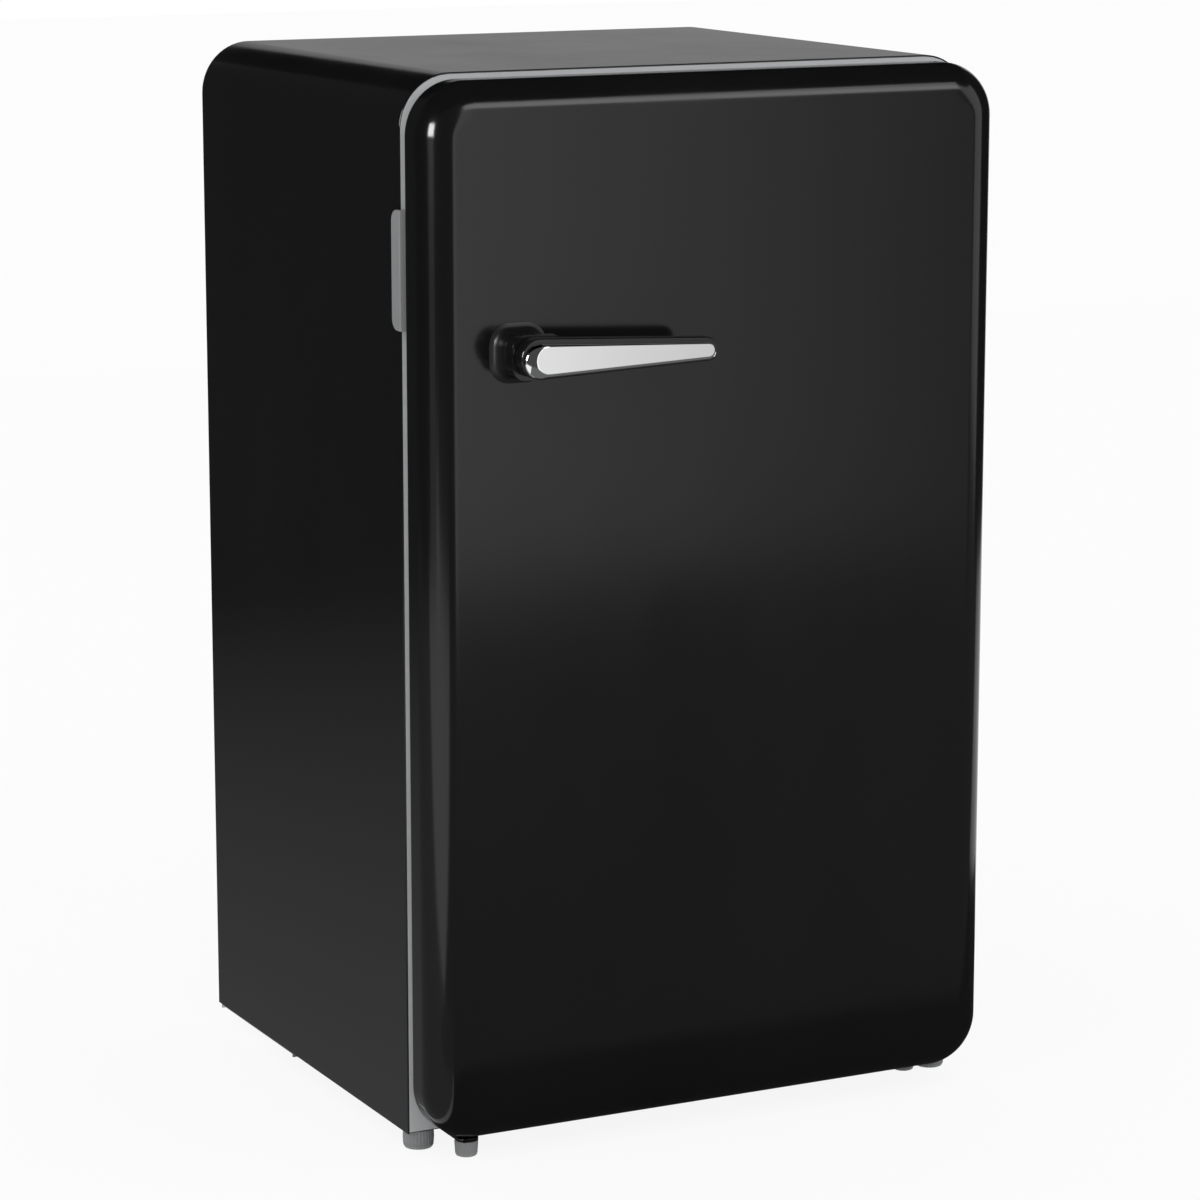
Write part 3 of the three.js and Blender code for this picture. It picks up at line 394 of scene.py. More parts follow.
def galvanised(name):
    """Hot-dipped zinc on sheet steel, with spangles and grey bloom."""
    f = Finish(name, (0.42, 0.43, 0.44), 0.4, Metallic=1.0)
    spangle = f.cells(90, output="Color", at=f.stretched((1, 1, 1.3)))
    tone = f.node("ShaderNodeSeparateXYZ", {}, {"Vector": spangle}, "X")
    bloom = f.noise(9, 5, 0.65)
    f.set("Base Color", f.shades(tone * 0.6 + bloom * 0.4, (0.30, 0.31, 0.325), (0.58, 0.59, 0.6)))
    f.set("Roughness", tone * 0.16 + bloom * 0.2 + 0.24)
    f.bump(f.cells(90, "SMOOTH_F1", at=f.stretched((1, 1, 1.3))) + f.noise(400) * 0.2, 0.00006)
    return f.material


def zinc_plate(name):
    """Bright zinc plating on pressed and turned small parts."""
    f = Finish(name, (0.55, 0.55, 0.53), 0.3, Metallic=1.0)
    drawn = f.noise(160, 4, 0.6, f.stretched((1, 1, 9)))
    haze = f.noise(45, 3)
    f.set("Base Color", f.shades(haze, (0.46, 0.47, 0.49), (0.64, 0.62, 0.55)))
    f.set("Roughness", drawn * 0.2 + haze * 0.1 + 0.16)
    f.bump(drawn, 0.00003)
    return f.material


def pump_paint(name):
    """Dip-painted black steel of the compressor's shell: thick, uneven and dusty on top."""
    f = Finish(name, (0.01, 0.01, 0.011), 0.38, IOR=1.5)
    runs = f.noise(30, 4, 0.6, f.stretched((1, 1, 0.3)))
    facing = f.node("ShaderNodeNewGeometry", {}, {}, "Normal")
    upward = f.node("ShaderNodeSeparateXYZ", {}, {"Vector": facing}, "Z").within(0.3, 1.0)
    dust = upward * f.noise(60, 5, 0.7)
    f.set("Base Color", f.shades(dust, (0.008, 0.008, 0.009), (0.09, 0.085, 0.078)))
    f.set("Roughness", dust * 0.4 + runs * 0.15 + 0.26)
    f.bump(f.noise(220, 3) + runs * 1.5, 0.00025)
    return f.material


def white_moulding(name, roughness=0.36):
    """White polystyrene: drawn thin in the mould, faintly mottled, with a soft sheen."""
    f = Finish(name, (0.78, 0.79, 0.8), roughness, IOR=1.55)
    mottle = f.noise(14, 5, 0.6)
    f.set("Base Color", f.shades(mottle, (0.73, 0.745, 0.76), (0.81, 0.815, 0.82)))
    f.set("Roughness", f.noise(70, 4) * 0.14 + roughness - 0.07)
    f.bump(f.noise(900, 2) * 0.4 + f.noise(60, 3), 0.00008)
    return f.material


def grained_moulding(name, dark, light, roughness=0.45):
    """A plastic moulding with a fine spark-eroded grain."""
    f = Finish(name, light, roughness, IOR=1.5)
    grain = f.cells(900, "SMOOTH_F1") + f.noise(1800, 2) * 0.5
    wear = f.noise(35, 5, 0.65)
    f.set("Base Color", f.shades(wear * 0.7 + grain * 0.3, dark, light))
    f.set("Roughness", wear * 0.16 + roughness - 0.06)
    f.bump(grain, 0.00006)
    return f.material


def polished_moulding(name, roughness):
    """Glossy black plastic of the handle, with hair scratches and faint smears."""
    f = Finish(name, (0.008, 0.008, 0.009), roughness, IOR=1.52)
    smears = f.noise(28, 4, 0.6)
    hairs = f.noise(240, 5, 0.7, f.stretched((0.15, 1, 2.5)))
    f.set("Base Color", f.shades(smears, (0.0055, 0.0055, 0.006), (0.013, 0.013, 0.014)))
    f.set("Roughness", smears * 0.1 + hairs.within(0.6, 0.8) * 0.1 + roughness - 0.05)
    f.bump(hairs * 0.5 + f.noise(150, 2), 0.00002)
    return f.material


def clear_moulding(name):
    """Clear crystal polystyrene, faintly blue, with flow marks and handling haze."""
    f = Finish(name, (0.86, 0.92, 0.94), 0.1, IOR=1.45, Transmission_Weight=0.82)
    haze = f.noise(22, 5, 0.65)
    f.set("Base Color", f.shades(haze, (0.80, 0.87, 0.90), (0.92, 0.96, 0.97)))
    f.set("Roughness", haze.within(0.4, 0.8) * 0.16 + 0.06)
    f.bump(f.noise(40, 3, 0.5, f.stretched((0.5, 1, 2))) + f.noise(500, 2) * 0.15, 0.00012)
    return f.material


def toughened_glass(name):
    """Toughened shelf glass, faintly green, with roller waves and wiping marks."""
    f = Finish(name, (0.80, 0.90, 0.87), 0.03, IOR=1.52, Transmission_Weight=0.93)
    wipes = f.noise(16, 5, 0.7, f.stretched((1, 0.3, 1)))
    f.set("Base Color", f.shades(wipes, (0.76, 0.88, 0.84), (0.86, 0.93, 0.90)))
    f.set("Roughness", wipes.within(0.5, 0.8) * 0.1 + 0.02)
    f.bump(f.noise(18, 1, 0.5, f.stretched((0.2, 1, 1))), 0.00006)
    return f.material


def cut_foam(name):
    """Rigid polyurethane foam where it shows: small cells and a skin gone yellow."""
    f = Finish(name, (0.8, 0.68, 0.4), 0.85)
    pores = f.cells(700)
    f.set("Base Color", f.shades(pores * 0.6 + f.noise(20, 4) * 0.5, (0.62, 0.48, 0.22), (0.85, 0.75, 0.48)))
    f.set("Roughness", pores * 0.2 + 0.75)
    f.bump(pores, 0.0004)
    return f.material


def rubber(name, dark, light, ribs=0.0):
    """Moulded rubber or soft vinyl, dull with handling bloom."""
    f = Finish(name, light, 0.6, IOR=1.5)
    bloom = f.noise(55, 5, 0.65)
    f.set("Base Color", f.shades(bloom, dark, light))
    f.set("Roughness", bloom * 0.25 + 0.48)
    f.bump(f.noise(1100, 2) + f.noise(60, 3) * ribs, 0.00008)
    return f.material


def drawn_copper(name):
    """Drawn copper tube, browned in places by the torch."""
    f = Finish(name, (0.72, 0.38, 0.24), 0.3, Metallic=1.0)
    tarnish = f.noise(48, 5, 0.65)
    f.set("Base Color", f.shades(tarnish.within(0.3, 0.7), (0.78, 0.42, 0.27), (0.36, 0.17, 0.10)))
    f.set("Roughness", tarnish * 0.3 + 0.16)
    f.bump(f.noise(300, 3, 0.5, f.stretched((1, 1, 0.1))), 0.00004)
    return f.material


def rolled_aluminium(name):
    """Rolled evaporator plate: brushed along its length, with blown channels and a frost bloom."""
    f = Finish(name, (0.62, 0.63, 0.64), 0.4, Metallic=0.85)
    brushed = f.noise(120, 5, 0.6, f.stretched((0.08, 1, 1)))
    frost = f.noise(26, 6, 0.7).within(0.42, 0.72)
    waves = {"Vector": f.place, "Scale": 9, "Distortion": 1.2}
    channel = f.node("ShaderNodeTexWave", {"bands_direction": "Y"}, waves)
    f.set("Base Color", f.shades(frost * 0.7 + brushed * 0.3, (0.52, 0.53, 0.55), (0.80, 0.82, 0.84)))
    f.set("Roughness", frost * 0.35 + brushed * 0.15 + 0.26)
    f.bump(channel.within(0.55, 0.9) + brushed * 0.06 + frost * 0.05, 0.0012)
    return f.material


def chrome_plate(name):
    """Bright chrome on a plastic bar, with a thin haze of polishing marks."""
    f = Finish(name, (0.75, 0.75, 0.76), 0.07, Metallic=1.0)
    haze = f.noise(18, 4, 0.6)
    marks = f.noise(500, 4, 0.6, f.stretched((0.12, 1, 1)))
    f.set("Base Color", f.shades(haze, (0.82, 0.82, 0.83), (0.92, 0.92, 0.925)))
    f.set("Roughness", haze * 0.07 + marks.within(0.55, 0.8) * 0.06 + 0.05)
    f.bump(marks, 0.000012)
    return f.material


def opal_moulding(name):
    """Milky, light-spreading plastic of the lamp's window."""
    f = Finish(name, (0.88, 0.89, 0.86), 0.45, IOR=1.5, Transmission_Weight=0.35)
    cloud = f.noise(60, 4)
    f.set("Base Color", f.shades(cloud, (0.82, 0.83, 0.80), (0.92, 0.93, 0.90)))
    f.set("Roughness", cloud * 0.15 + 0.38)
    ribs = f.node("ShaderNodeTexWave", {"bands_direction": "Y"}, {"Vector": f.place, "Scale": 120})
    f.bump(ribs, 0.0004)
    return f.material


def bulb_glass(name):
    """Frosted glass of a small lamp."""
    f = Finish(name, (0.93, 0.92, 0.88), 0.35, IOR=1.5, Transmission_Weight=0.5)
    frost = f.noise(300, 4)
    f.set("Base Color", f.shades(frost, (0.88, 0.87, 0.82), (0.96, 0.95, 0.92)))
    f.set("Roughness", frost * 0.2 + 0.3)
    f.bump(frost, 0.00005)
    return f.material


finishes = {
    "black_enamel": stoved_enamel("cabinet_enamel", 0.1, 0.000008),
    "door_enamel": stoved_enamel("door_enamel", 0.11, 0.000008),
    "grey_painted_steel": grey_paint("grey_frame_paint"),
    "galvanised_steel": galvanised("spangled_zinc"),
    "zinc_plated_steel": zinc_plate("bright_zinc"),
    "compressor_paint": pump_paint("pump_paint"),
    "white_plastic": white_moulding("white_liner_plastic"),
    "grey_plastic": grained_moulding("grey_grained_plastic", (0.235, 0.24, 0.245), (0.30, 0.305, 0.31)),
    "black_plastic": polished_moulding("polished_black_plastic", 0.14),
    "satin_black_plastic": polished_moulding("satin_black_plastic", 0.36),
    "dull_black_plastic": grained_moulding(
        "grained_black_plastic", (0.008, 0.008, 0.009), (0.03, 0.03, 0.032)
    ),
    "clear_plastic": clear_moulding("clear_crystal_plastic"),
    "shelf_glass": toughened_glass("toughened_glass"),
    "insulation_foam": cut_foam("yellow_foam"),
    "black_rubber": rubber("black_rubber", (0.012, 0.012, 0.012), (0.04, 0.039, 0.037)),
    "gasket_rubber": rubber("grey_gasket_vinyl", (0.36, 0.37, 0.38), (0.50, 0.51, 0.52), 2.0),
    "copper": drawn_copper("torch_browned_copper"),
    "evaporator_aluminium": rolled_aluminium("frosted_aluminium"),
    "chrome_plating": chrome_plate("bright_chrome"),
    "opal": opal_moulding("opal_window"),
    "bulb": bulb_glass("frosted_bulb"),
}


# ================================================================ cabinet
def hoop(x, z, corner):
    """The cabinet's side, top and side as one open outline, from the lower right to the lower left."""
    return [
        (x[1], z[0]),
        *corner_points((x[1] - corner, z[1] - corner), (corner, corner), 0, 14),
        *corner_points((x[0] + corner, z[1] - corner), (corner, corner), 1, 14),
        (x[0], z[0]),
    ]


def cabinet_wrap():
    """The wrap-round sheet, its front and back edges rolled."""
    x, y, z = span("outer_shell")
    inside = (x[0] + WRAP_SHEET, x[1] - WRAP_SHEET), (z[0], z[1] - WRAP_SHEET)
    inner = hoop(*inside, WRAP_CORNER - WRAP_SHEET)[::-1]
    turns = [math.pi / 2 * k / 4 for k in range(5)]
    insets = [WRAP_EDGE * (1 - math.sin(t)) for t in turns]
    levels = [y[0] + WRAP_EDGE * (1 - math.cos(t)) for t in turns]
    insets += insets[::-1]
    levels += [y[0] + y[1] - level for level in levels[::-1]]
    rings = [
        place("y", hoop((x[0] + i, x[1] - i), (z[0], z[1] - i), WRAP_CORNER - i) + inner, level)
        for i, level in zip(insets, levels)
    ]
    piece("cabinet_wrap", [loft(rings)], finishes["black_enamel"], "cabinet", ["outer_shell"])


def bead(x, z, corner, level, rise):
    """A half-round bead pressed in a rounded rectangle on the back panel."""
    rings = []
    for k in range(9):
        inset = BEAD_WIDTH * k / 8
        outline = rounded((x[0] + inset, x[1] - inset), (z[0] + inset, z[1] - inset), corner - inset)
        rings.append(place("y", outline, level + rise * math.sin(math.pi * k / 8)))
    return loft(rings, wrap=True)


def back_beads():
    """Stiffening beads on the back panel."""
    x, y, z = span("back_panel")
    rise = cad_box[1].y - y[1] - 0.0001
    outer = bead((x[0] + 0.030, x[1] - 0.030), (z[0] + 0.03, z[1] - 0.03), 0.04, y[1] - 0.0001, rise)
    fields = [
        bead((x[0] + 0.075, x[1] - 0.075), (low, low + 0.16), 0.03, y[1] - 0.0001, rise)
        for low in (z[0] + 0.075, z[0] + 0.245, z[0] + 0.415)
    ]
    piece("back_panel_beads", [outer, *fields], finishes["galvanised_steel"], "cabinet")


def cross(centre, reach, width, steps=48):
    """A cross-shaped outline with as many points as a screw's head."""
    points = []
    for k in range(steps):
        angle = 2 * math.pi * k / steps
        a, b = abs(math.cos(angle)), abs(math.sin(angle))
        radius = min(reach, width / max(min(a, b), 1e-6)) if min(a, b) / max(a, b) < 0.5 else width * 1.42
        points.append((centre[0] + radius * math.cos(angle), centre[1] + radius * math.sin(angle)))
    return points


def screw(name, axis, at, level, outward, body="cabinet", head=SCREW_HEAD):
    """A pan-head screw with a cross recess, standing outward from a surface."""
    profile = [(1.0, 0.0), (1.0, 0.12), (0.9, 0.3), (0.7, 0.4)]
    rings = [place(axis, circle(at, head * r), level + outward * head * h) for r, h in profile]
    recess = cross(at, head * 0.55, head * 0.13)
    rings += [place(axis, recess, level + outward * head * h) for h in (0.4, 0.12)]
    piece(name, [loft(rings)], finishes["zinc_plated_steel"], body)


def back_screws():
    """Screws along the back panel's two sides and its top edge."""
    x, y, z = span("back_panel")
    head = 0.0026
    for row, height in enumerate((0.03, 0.22, 0.42, z[1] - z[0] - 0.06)):
        for side, across in (("left", x[0] + 0.012), ("right", x[1] - 0.012)):
            screw(f"back_screw_{side}_{row + 1}", "y", (across, z[0] + height), y[1], 1, head=head)
    for count, across in enumerate((-0.12, 0.0, 0.12)):
        screw(f"back_screw_top_{count + 1}", "y", (across, z[1] - 0.012), y[1], 1, head=head)


def cover_outline(y, z, inset, corner=0.009):
    """The side of a hinge cover: square at the front, rounded towards the back."""
    radius = corner - inset
    return [
        (y[0] + inset, z[0] + inset),
        *corner_points((y[1] - corner, z[0] + corner), (radius, radius), 3, 8),
        *corner_points((y[1] - corner, z[1] - corner), (radius, radius), 0, 8),
        (y[0] + inset, z[1] - inset),
    ]


def hinge_cap(name, node, side, tongue):
    """A grey cover on the cabinet's side, with soft outer edges and a tongue round its front edge."""
    x, y, z = span(node)
    outside = x[1] if side > 0 else x[0]
    thickness, edge = 0.0017, 0.0012
    steps = [(0.0, thickness), (0.0, edge), (0.00012, 0.0007), (0.0004, 0.00028), (0.0009, 0.0)]
    rings = [place("x", cover_outline(y, z, inset), outside - side * depth) for inset, depth in steps]
    shapes = [loft(rings)]
    if tongue:
        inner = x[0] if side > 0 else x[1]
        reach = tuple(sorted((inner, outside - side * edge)))
        shapes.append(pad("y", reach, z, (y[0], y[0] + 0.0027), 0.0008, 0.0006))
    piece(name, shapes, finishes["grey_plastic"], "cabinet", [node])


def lobed(centre, radius, lobes, depth, steps=96):
    """A circle with shallow grip lobes."""
    points = []
    for k in range(steps):
        angle = 2 * math.pi * k / steps
        reach = radius - depth * (0.5 + 0.5 * math.cos(lobes * angle)) ** 2
        points.append((centre[0] + reach * math.cos(angle), centre[1] + reach * math.sin(angle)))
    return points


def fluted(at, rings, base):
    """A fluted drum of (radius, level) rings that stands on a base level."""
    def flutes(radius):
        return lobed(at, radius, FLUTES, FLUTE_DEPTH, 6 * FLUTES)

    return loft([place("z", flutes(radius), base + level) for radius, level in rings])


def fixed_foot(node):
    """A moulded foot: a slightly barrelled, fluted drum on a rounded rubbing edge."""
    x, y, z = span(node)
    r, h = (x[1] - x[0]) / 2, z[1] - z[0]
    rings = [(r - 0.0028, 0), (r - 0.0014, 0.0005), (r - 0.0005, 0.0022), (r, h * 0.55), (r - 0.0004, h)]
    drum = fluted((middle(x), middle(y)), rings, z[0])
    piece(f"{node}_drum", [drum], finishes["grey_plastic"], "cabinet", [node])


def levelling_foot(node, body):
    """A levelling foot: a fluted pad to turn by hand, on a threaded stud."""
    x, y, z = span(node)
    at, r = (middle(x), middle(y)), (x[1] - x[0]) / 2
    top = z[1] - z[0] - FOOT_STRAP
    rings = [(r - 0.0024, 0), (r - 0.0012, 0.0006), (r - 0.0007, 0.002), (r, top - 0.001), (r - 0.0006, top)]
    turns = [(0.0034 + 0.0006 * (k % 2), top - 0.0004 + k * 0.0005) for k in range(8)]
    stud = turned("z", at, [(radius, z[0] + level) for radius, level in turns], 24)
    piece(f"{node}_pad", [fluted(at, rings, z[0])], finishes["grey_plastic"], body, [node])
    piece(f"{node}_stud", [stud], finishes["zinc_plated_steel"], body)


def foot_strap():
    """The strap under the base that carries the left levelling foot, with pressed edges."""
    x, y, z = span("left_foot_bracket")
    across = (middle(x) - STRAP_HALF_WIDTH, middle(x) + STRAP_HALF_WIDTH)
    front = span("levelling_foot_left")[1][0] + 0.0006
    strap = pad("z", across, (front, y[1]), z, 0.006, 0.0006)
    piece("foot_strap", [strap], finishes["black_enamel"], "cabinet", ["left_foot_bracket"])


# ================================================================ compressor bay
def compressor_can():
    """The sealed compressor: two pressed halves, their weld flange, its foot plate and stub pipes."""
    x, y, z = span("compressor")
    at, r = (middle(x), middle(y)), (y[1] - y[0]) / 2
    body, low, top = r - 0.0018, z[0] + 0.001, z[1]
    seam, shoulder = middle(z) + 0.01, 0.034
    profile = [(body - 0.016, low), (body - 0.006, low + 0.003), (body, low + 0.014), (body, seam - 0.003)]
    profile += [(r, seam - 0.0022), (r, seam + 0.0022), (body - 0.001, seam + 0.003)]
    dome = corner_points((body - 0.001 - shoulder, top - shoulder), (shoulder, shoulder), 0, 12)
    can = turned("z", at, profile + dome + [(0.004, top)], 72)
    foot = pad("z", x, (at[1] - 0.05, at[1] + 0.05), (z[0], z[0] + 0.003), 0.014, 0.0008)
    stub = [(0.0042, top - 0.03), (0.0042, top - 0.006), (0.003, top - 0.004)]
    stubs = [turned("z", (at[0] + 0.036, at[1] + along), stub, 20) for along in (0.02, -0.02)]
    finish = finishes["compressor_paint"]
    piece("compressor_can", [can, foot, *stubs], finish, "cabinet", ["compressor"])


# ================================================================ door
def door_shell():
    """The pillow-shaped door: a hemmed back edge, rolled sides and a flat front, cut for its hinges."""
    x, y, z = span("door_skin")
    hem = [
        (DOOR_HEM, y[1] - DOOR_RECESS),
        (DOOR_HEM, y[1] - 0.0004),
        (DOOR_HEM * 0.7, y[1]),
        (DOOR_HEM * 0.3, y[1]),
        (0.0, y[1] - 0.0005),
    ]
    rings = [
        place("y", rounded((x[0] + i, x[1] - i), (z[0] + i, z[1] - i), DOOR_CORNER - i, steps=16), level)
        for i, level in hem
    ]
    for k in range(19):
        turn = math.pi / 2 * k / 18
        side, top = (roll * (1 - math.cos(turn)) for roll in (DOOR_SIDE_ROLL, DOOR_TOP_ROLL))
        corner = DOOR_CORNER - side
        outline = rounded(
            (x[0] + side, x[1] - side), (z[0] + side, z[1] - top), corner, high=DOOR_CORNER - top, steps=16
        )
        rings.append(place("y", outline, y[0] + DOOR_ROLL_DEPTH * (1 - math.sin(turn))))
    finish = finishes["door_enamel"]
    made = piece("door_shell", [loft(rings)], finish, "door", ["door_skin", "door_foam"])
    inner, depth = span("upper_hinge_bush")[0][0], (y[1] - POCKET_DEPTH, y[1] + 0.01)
    arm = span("upper_hinge_pin")[2][1] - ARM_BELOW_PIN_HEAD
    centres = (arm, z[0] + z[1] - arm)
    pockets = [
        pad("x", depth, (c - POCKET_HEIGHT / 2, c + POCKET_HEIGHT / 2), (inner, x[1] + 0.01), 0.002, 0.0005)
        for c in centres
    ]
    carve(made, pockets)


def door_seal():
    """The magnetic seal: a lip on the door, a bellows and a flat band that meets the cabinet."""
    x, y, z = span("door_gasket")
    low, high = y
    section = [
        (0.0, low),
        (0.0, low + 0.003),
        (0.0018, low + 0.0045),
        (0.0010, low + 0.0068),
        (0.0022, high - 0.0004),
        (0.0030, high),
        (0.0118, high),
        (0.0128, high - 0.0006),
        (0.0142, low + 0.0068),
        (0.0130, low + 0.0045),
        (0.0165, low + 0.003),
        (GASKET_WIDTH, low),
    ]
    rings = [
        place("y", rounded((x[0] + i, x[1] - i), (z[0] + i, z[1] - i), 0.03 - i, steps=12), level)
        for i, level in section
    ]
    finish = finishes["gasket_rubber"]
    piece("door_seal", [loft(rings, wrap=True)], finish, "door", ["door_gasket"], 50)


# ================================================================ handle
def drop_shape(x, level, left, right, drop):
    """A long drop: a round left end, nearly straight edges and a smaller, slightly lower right end."""
    a = (x[0] + left, level)
    b = (x[1] - right, level - drop)
    start = [math.radians(96 + 172 * k / 20) for k in range(21)]
    end = [math.radians(-84 + 172 * k / 14) for k in range(15)]
    points = [(a[0] + left * math.cos(t), a[1] + left * math.sin(t)) for t in start]
    return points + [(b[0] + right * math.cos(t), b[1] + right * math.sin(t)) for t in end]


def grown(x, amount):
    """A pair widened at both ends."""
    return (x[0] - amount, x[1] + amount)


def handle():
    """The door handle: a flared base, a stem that carries the arm, and a chromed face on it."""
    face = span("handle_face")
    arm_y = span("handle_arm")[1]
    base = span("handle_base")
    flare = 0.007
    stem_x = (base[0][0] + flare, base[0][1] - flare)
    stem_z = (base[2][0] + flare, base[2][1] - flare)

    layers = []
    for k in range(13):
        share = k / 12
        grow = flare * (1 - math.sqrt(1 - (1 - share) ** 2))
        outline = rounded(
            (stem_x[0] - grow, stem_x[1] + grow), (stem_z[0] - grow, stem_z[1] + grow), 0.010 + grow
        )
        layers.append(place("y", outline, base[1][1] - share * (base[1][1] - base[1][0])))
    black = finishes["black_plastic"]
    satin = finishes["satin_black_plastic"]
    piece("handle_pedestal", [loft(layers)], satin, "door", ["handle_base"])

    back, front = base[1][0] - HANDLE_SEAM, arm_y[0]
    arm_back = front + 0.013
    fillet = 0.006
    post = []
    for k in range(9):
        share = k / 8
        grow = fillet * (1 - math.sqrt(1 - share**2))
        outline = rounded(
            (stem_x[0] - grow * 0.1, stem_x[1] + grow),
            (stem_z[0] - grow * 0.2, stem_z[1] + grow * 0.2),
            0.010,
        )
        post.append(place("y", outline, arm_back + fillet * (1 - share)))
    post.insert(0, place("y", rounded(stem_x, stem_z, 0.010), back))
    face_x, level = face[0], middle(face[2])
    bar_steps = [
        (-0.0006, arm_back),
        (0.0010, arm_back - 0.0008),
        (0.0018, arm_back - 0.0021),
        (0.0020, arm_back - 0.0034),
        (0.0020, front + 0.0012),
        (0.0014, front + 0.0003),
        (0.0008, front),
    ]
    centre = level + HANDLE_RIM / 2
    bar = [
        place("y", drop_shape(grown(face_x, g), centre, HANDLE_LEFT + g, HANDLE_TIP + g, 0.001), at)
        for g, at in bar_steps
    ]
    piece("handle_bar", [loft(post), loft(bar)], black, "door", ["handle_arm"])

    low, high = face[1]
    outer = drop_shape(face_x, level, HANDLE_LEFT, HANDLE_TIP, 0.001)
    flat_x = (face_x[0] + CHROME_LEFT_BEVEL, face_x[1] - CHROME_TIP_BEVEL)
    flat = drop_shape(flat_x, level + 0.0012, HANDLE_LEFT - 0.0032, HANDLE_TIP - 0.0022, 0.0006)
    plate = [place("y", outer, high)]
    for k in range(11):
        turn = math.pi / 2 * k / 10 * CHROME_CROWN
        share = (1 - math.cos(turn)) / (1 - math.cos(math.pi / 2 * CHROME_CROWN))
        drop = math.sin(turn) / math.sin(math.pi / 2 * CHROME_CROWN)
        outline = [(a[0] + (b[0] - a[0]) * share, a[1] + (b[1] - a[1]) * share) for a, b in zip(outer, flat)]
        plate.append(place("y", outline, low + CHROME_DEPTH * (1 - drop)))
    chrome = finishes["chrome_plating"]
    piece("handle_chrome", [loft(plate)], chrome, "door", ["handle_face"], 15)


# ================================================================ inside
def dial():
    """The thermostat's knob: a lobed dial with a grip bar and a white pointer, and marks round it."""
    x, y, z = span("thermostat_knob")
    at, r = (middle(x), middle(z)), (x[1] - x[0]) / 2
    front, shaft_end = y
    face = front + 0.0093
    back = front + 0.017
    profile = [(r, back), (r, face + 0.002), (r - 0.0006, face + 0.0006), (r - 0.002, face), (0.006, face)]
    rings = []
    for radius, level in profile:
        depth = DIAL_LOBE_DEPTH if radius > 0.01 else 0
        rings.append(place("y", lobed(at, radius, DIAL_LOBES, depth), level))
    bar_x, bar_z = (at[0] - 0.004, at[0] + 0.004), (at[1] - r + 0.002, at[1] + r - 0.002)
    bar = pad("y", bar_x, bar_z, (front, face + 0.001), 0.003, 0.0015)
    shaft = turned("y", at, [(0.003, back - 0.001), (0.003, shaft_end)], 24)
    grey = finishes["grey_plastic"]
    piece("thermostat_dial", [loft(rings), bar, shaft], grey, "knob", ["thermostat_knob"])
    pointer_x, pointer_z = (at[0] - 0.0008, at[0] + 0.0008), (at[1] + 0.005, at[1] + r - 0.003)
    pointer = pad("y", pointer_x, pointer_z, (front - 0.0002, front + 0.0007), 0.0003, 0.0001)
    piece("dial_pointer", [pointer], finishes["white_plastic"], "knob")
    level = span("thermostat_housing")[1][0]
    marks = []
    for k in range(7):
        angle = math.radians(120 + k * 50)
        centre = (at[0] + 0.0205 * math.cos(angle), at[1] + 0.0205 * math.sin(angle))
        size = 0.0005 + 0.00016 * k
        marks.append(turned("y", centre, [(size, level - 0.0002), (size, level + 0.0004)], 16))
    piece("dial_marks", marks, finishes["dull_black_plastic"], "cabinet")


def dress_frame():
    """Gives every CAD node that still shows its finish, by its own material slot."""
    special = {"lamp_lens": "opal", "lamp": "bulb"}
    round_nodes = {"discharge_pipe", "suction_pipe", "condenser_coil", "filter_drier"}
    wide_edges = {
        "door_liner": 0.004,
        "ice_box_flap": 0.002,
        "inner_liner": 0.003,
        "start_relay_cover": 0.0015,
    }
    for node, made in frame["nodes"].items():
        if made.hide_render:
            continue
        slot = made.data.materials[0].name.split(".")[0]
        finish = finishes[special.get(node, slot)]
        dress(node, finish, wide_edges.get(node, 0.0006), 2 if node in round_nodes else 0)


# ================================================================ studio
def card(name, centre, facing, size, level, far_level=None, along="X"):
    """A studio card that only reflections see: plain, or graded along one of its own axes."""
    mesh = bpy.data.meshes.new(name)
    a, b = size[0] / 2, size[1] / 2
    mesh.from_pydata([(-a, -b, 0), (a, -b, 0), (a, b, 0), (-a, b, 0)], [], [(0, 1, 2, 3)])
    made = bpy.data.objects.new(name, mesh)
    made.location = centre
    made.rotation_euler = Vector(facing).to_track_quat("Z", "Y").to_euler()
    for ray in ("camera", "diffuse", "transmission", "volume_scatter", "shadow"):
        setattr(made, f"visible_{ray}", False)
    bpy.context.scene.collection.objects.link(made)
    paint = bpy.data.materials.new(name)
    paint.use_nodes = True
    paint.node_tree.nodes.clear()
    nodes = Nodes(paint.node_tree)
    place_on_card = nodes.node("ShaderNodeTexCoord", output="Object")
    position = nodes.node("ShaderNodeSeparateXYZ", {}, {"Vector": place_on_card}, along)
    far_level = level if far_level is None else far_level
    reach = a if along == "X" else b
    strength = position.within(-reach, reach) * (far_level - level) + level
    light = nodes.node("ShaderNodeEmission", {}, {"Strength": strength})
    output = paint.node_tree.nodes.new("ShaderNodeOutputMaterial")
    nodes.feed(output.inputs["Surface"], light)
    mesh.materials.append(paint)
    return made


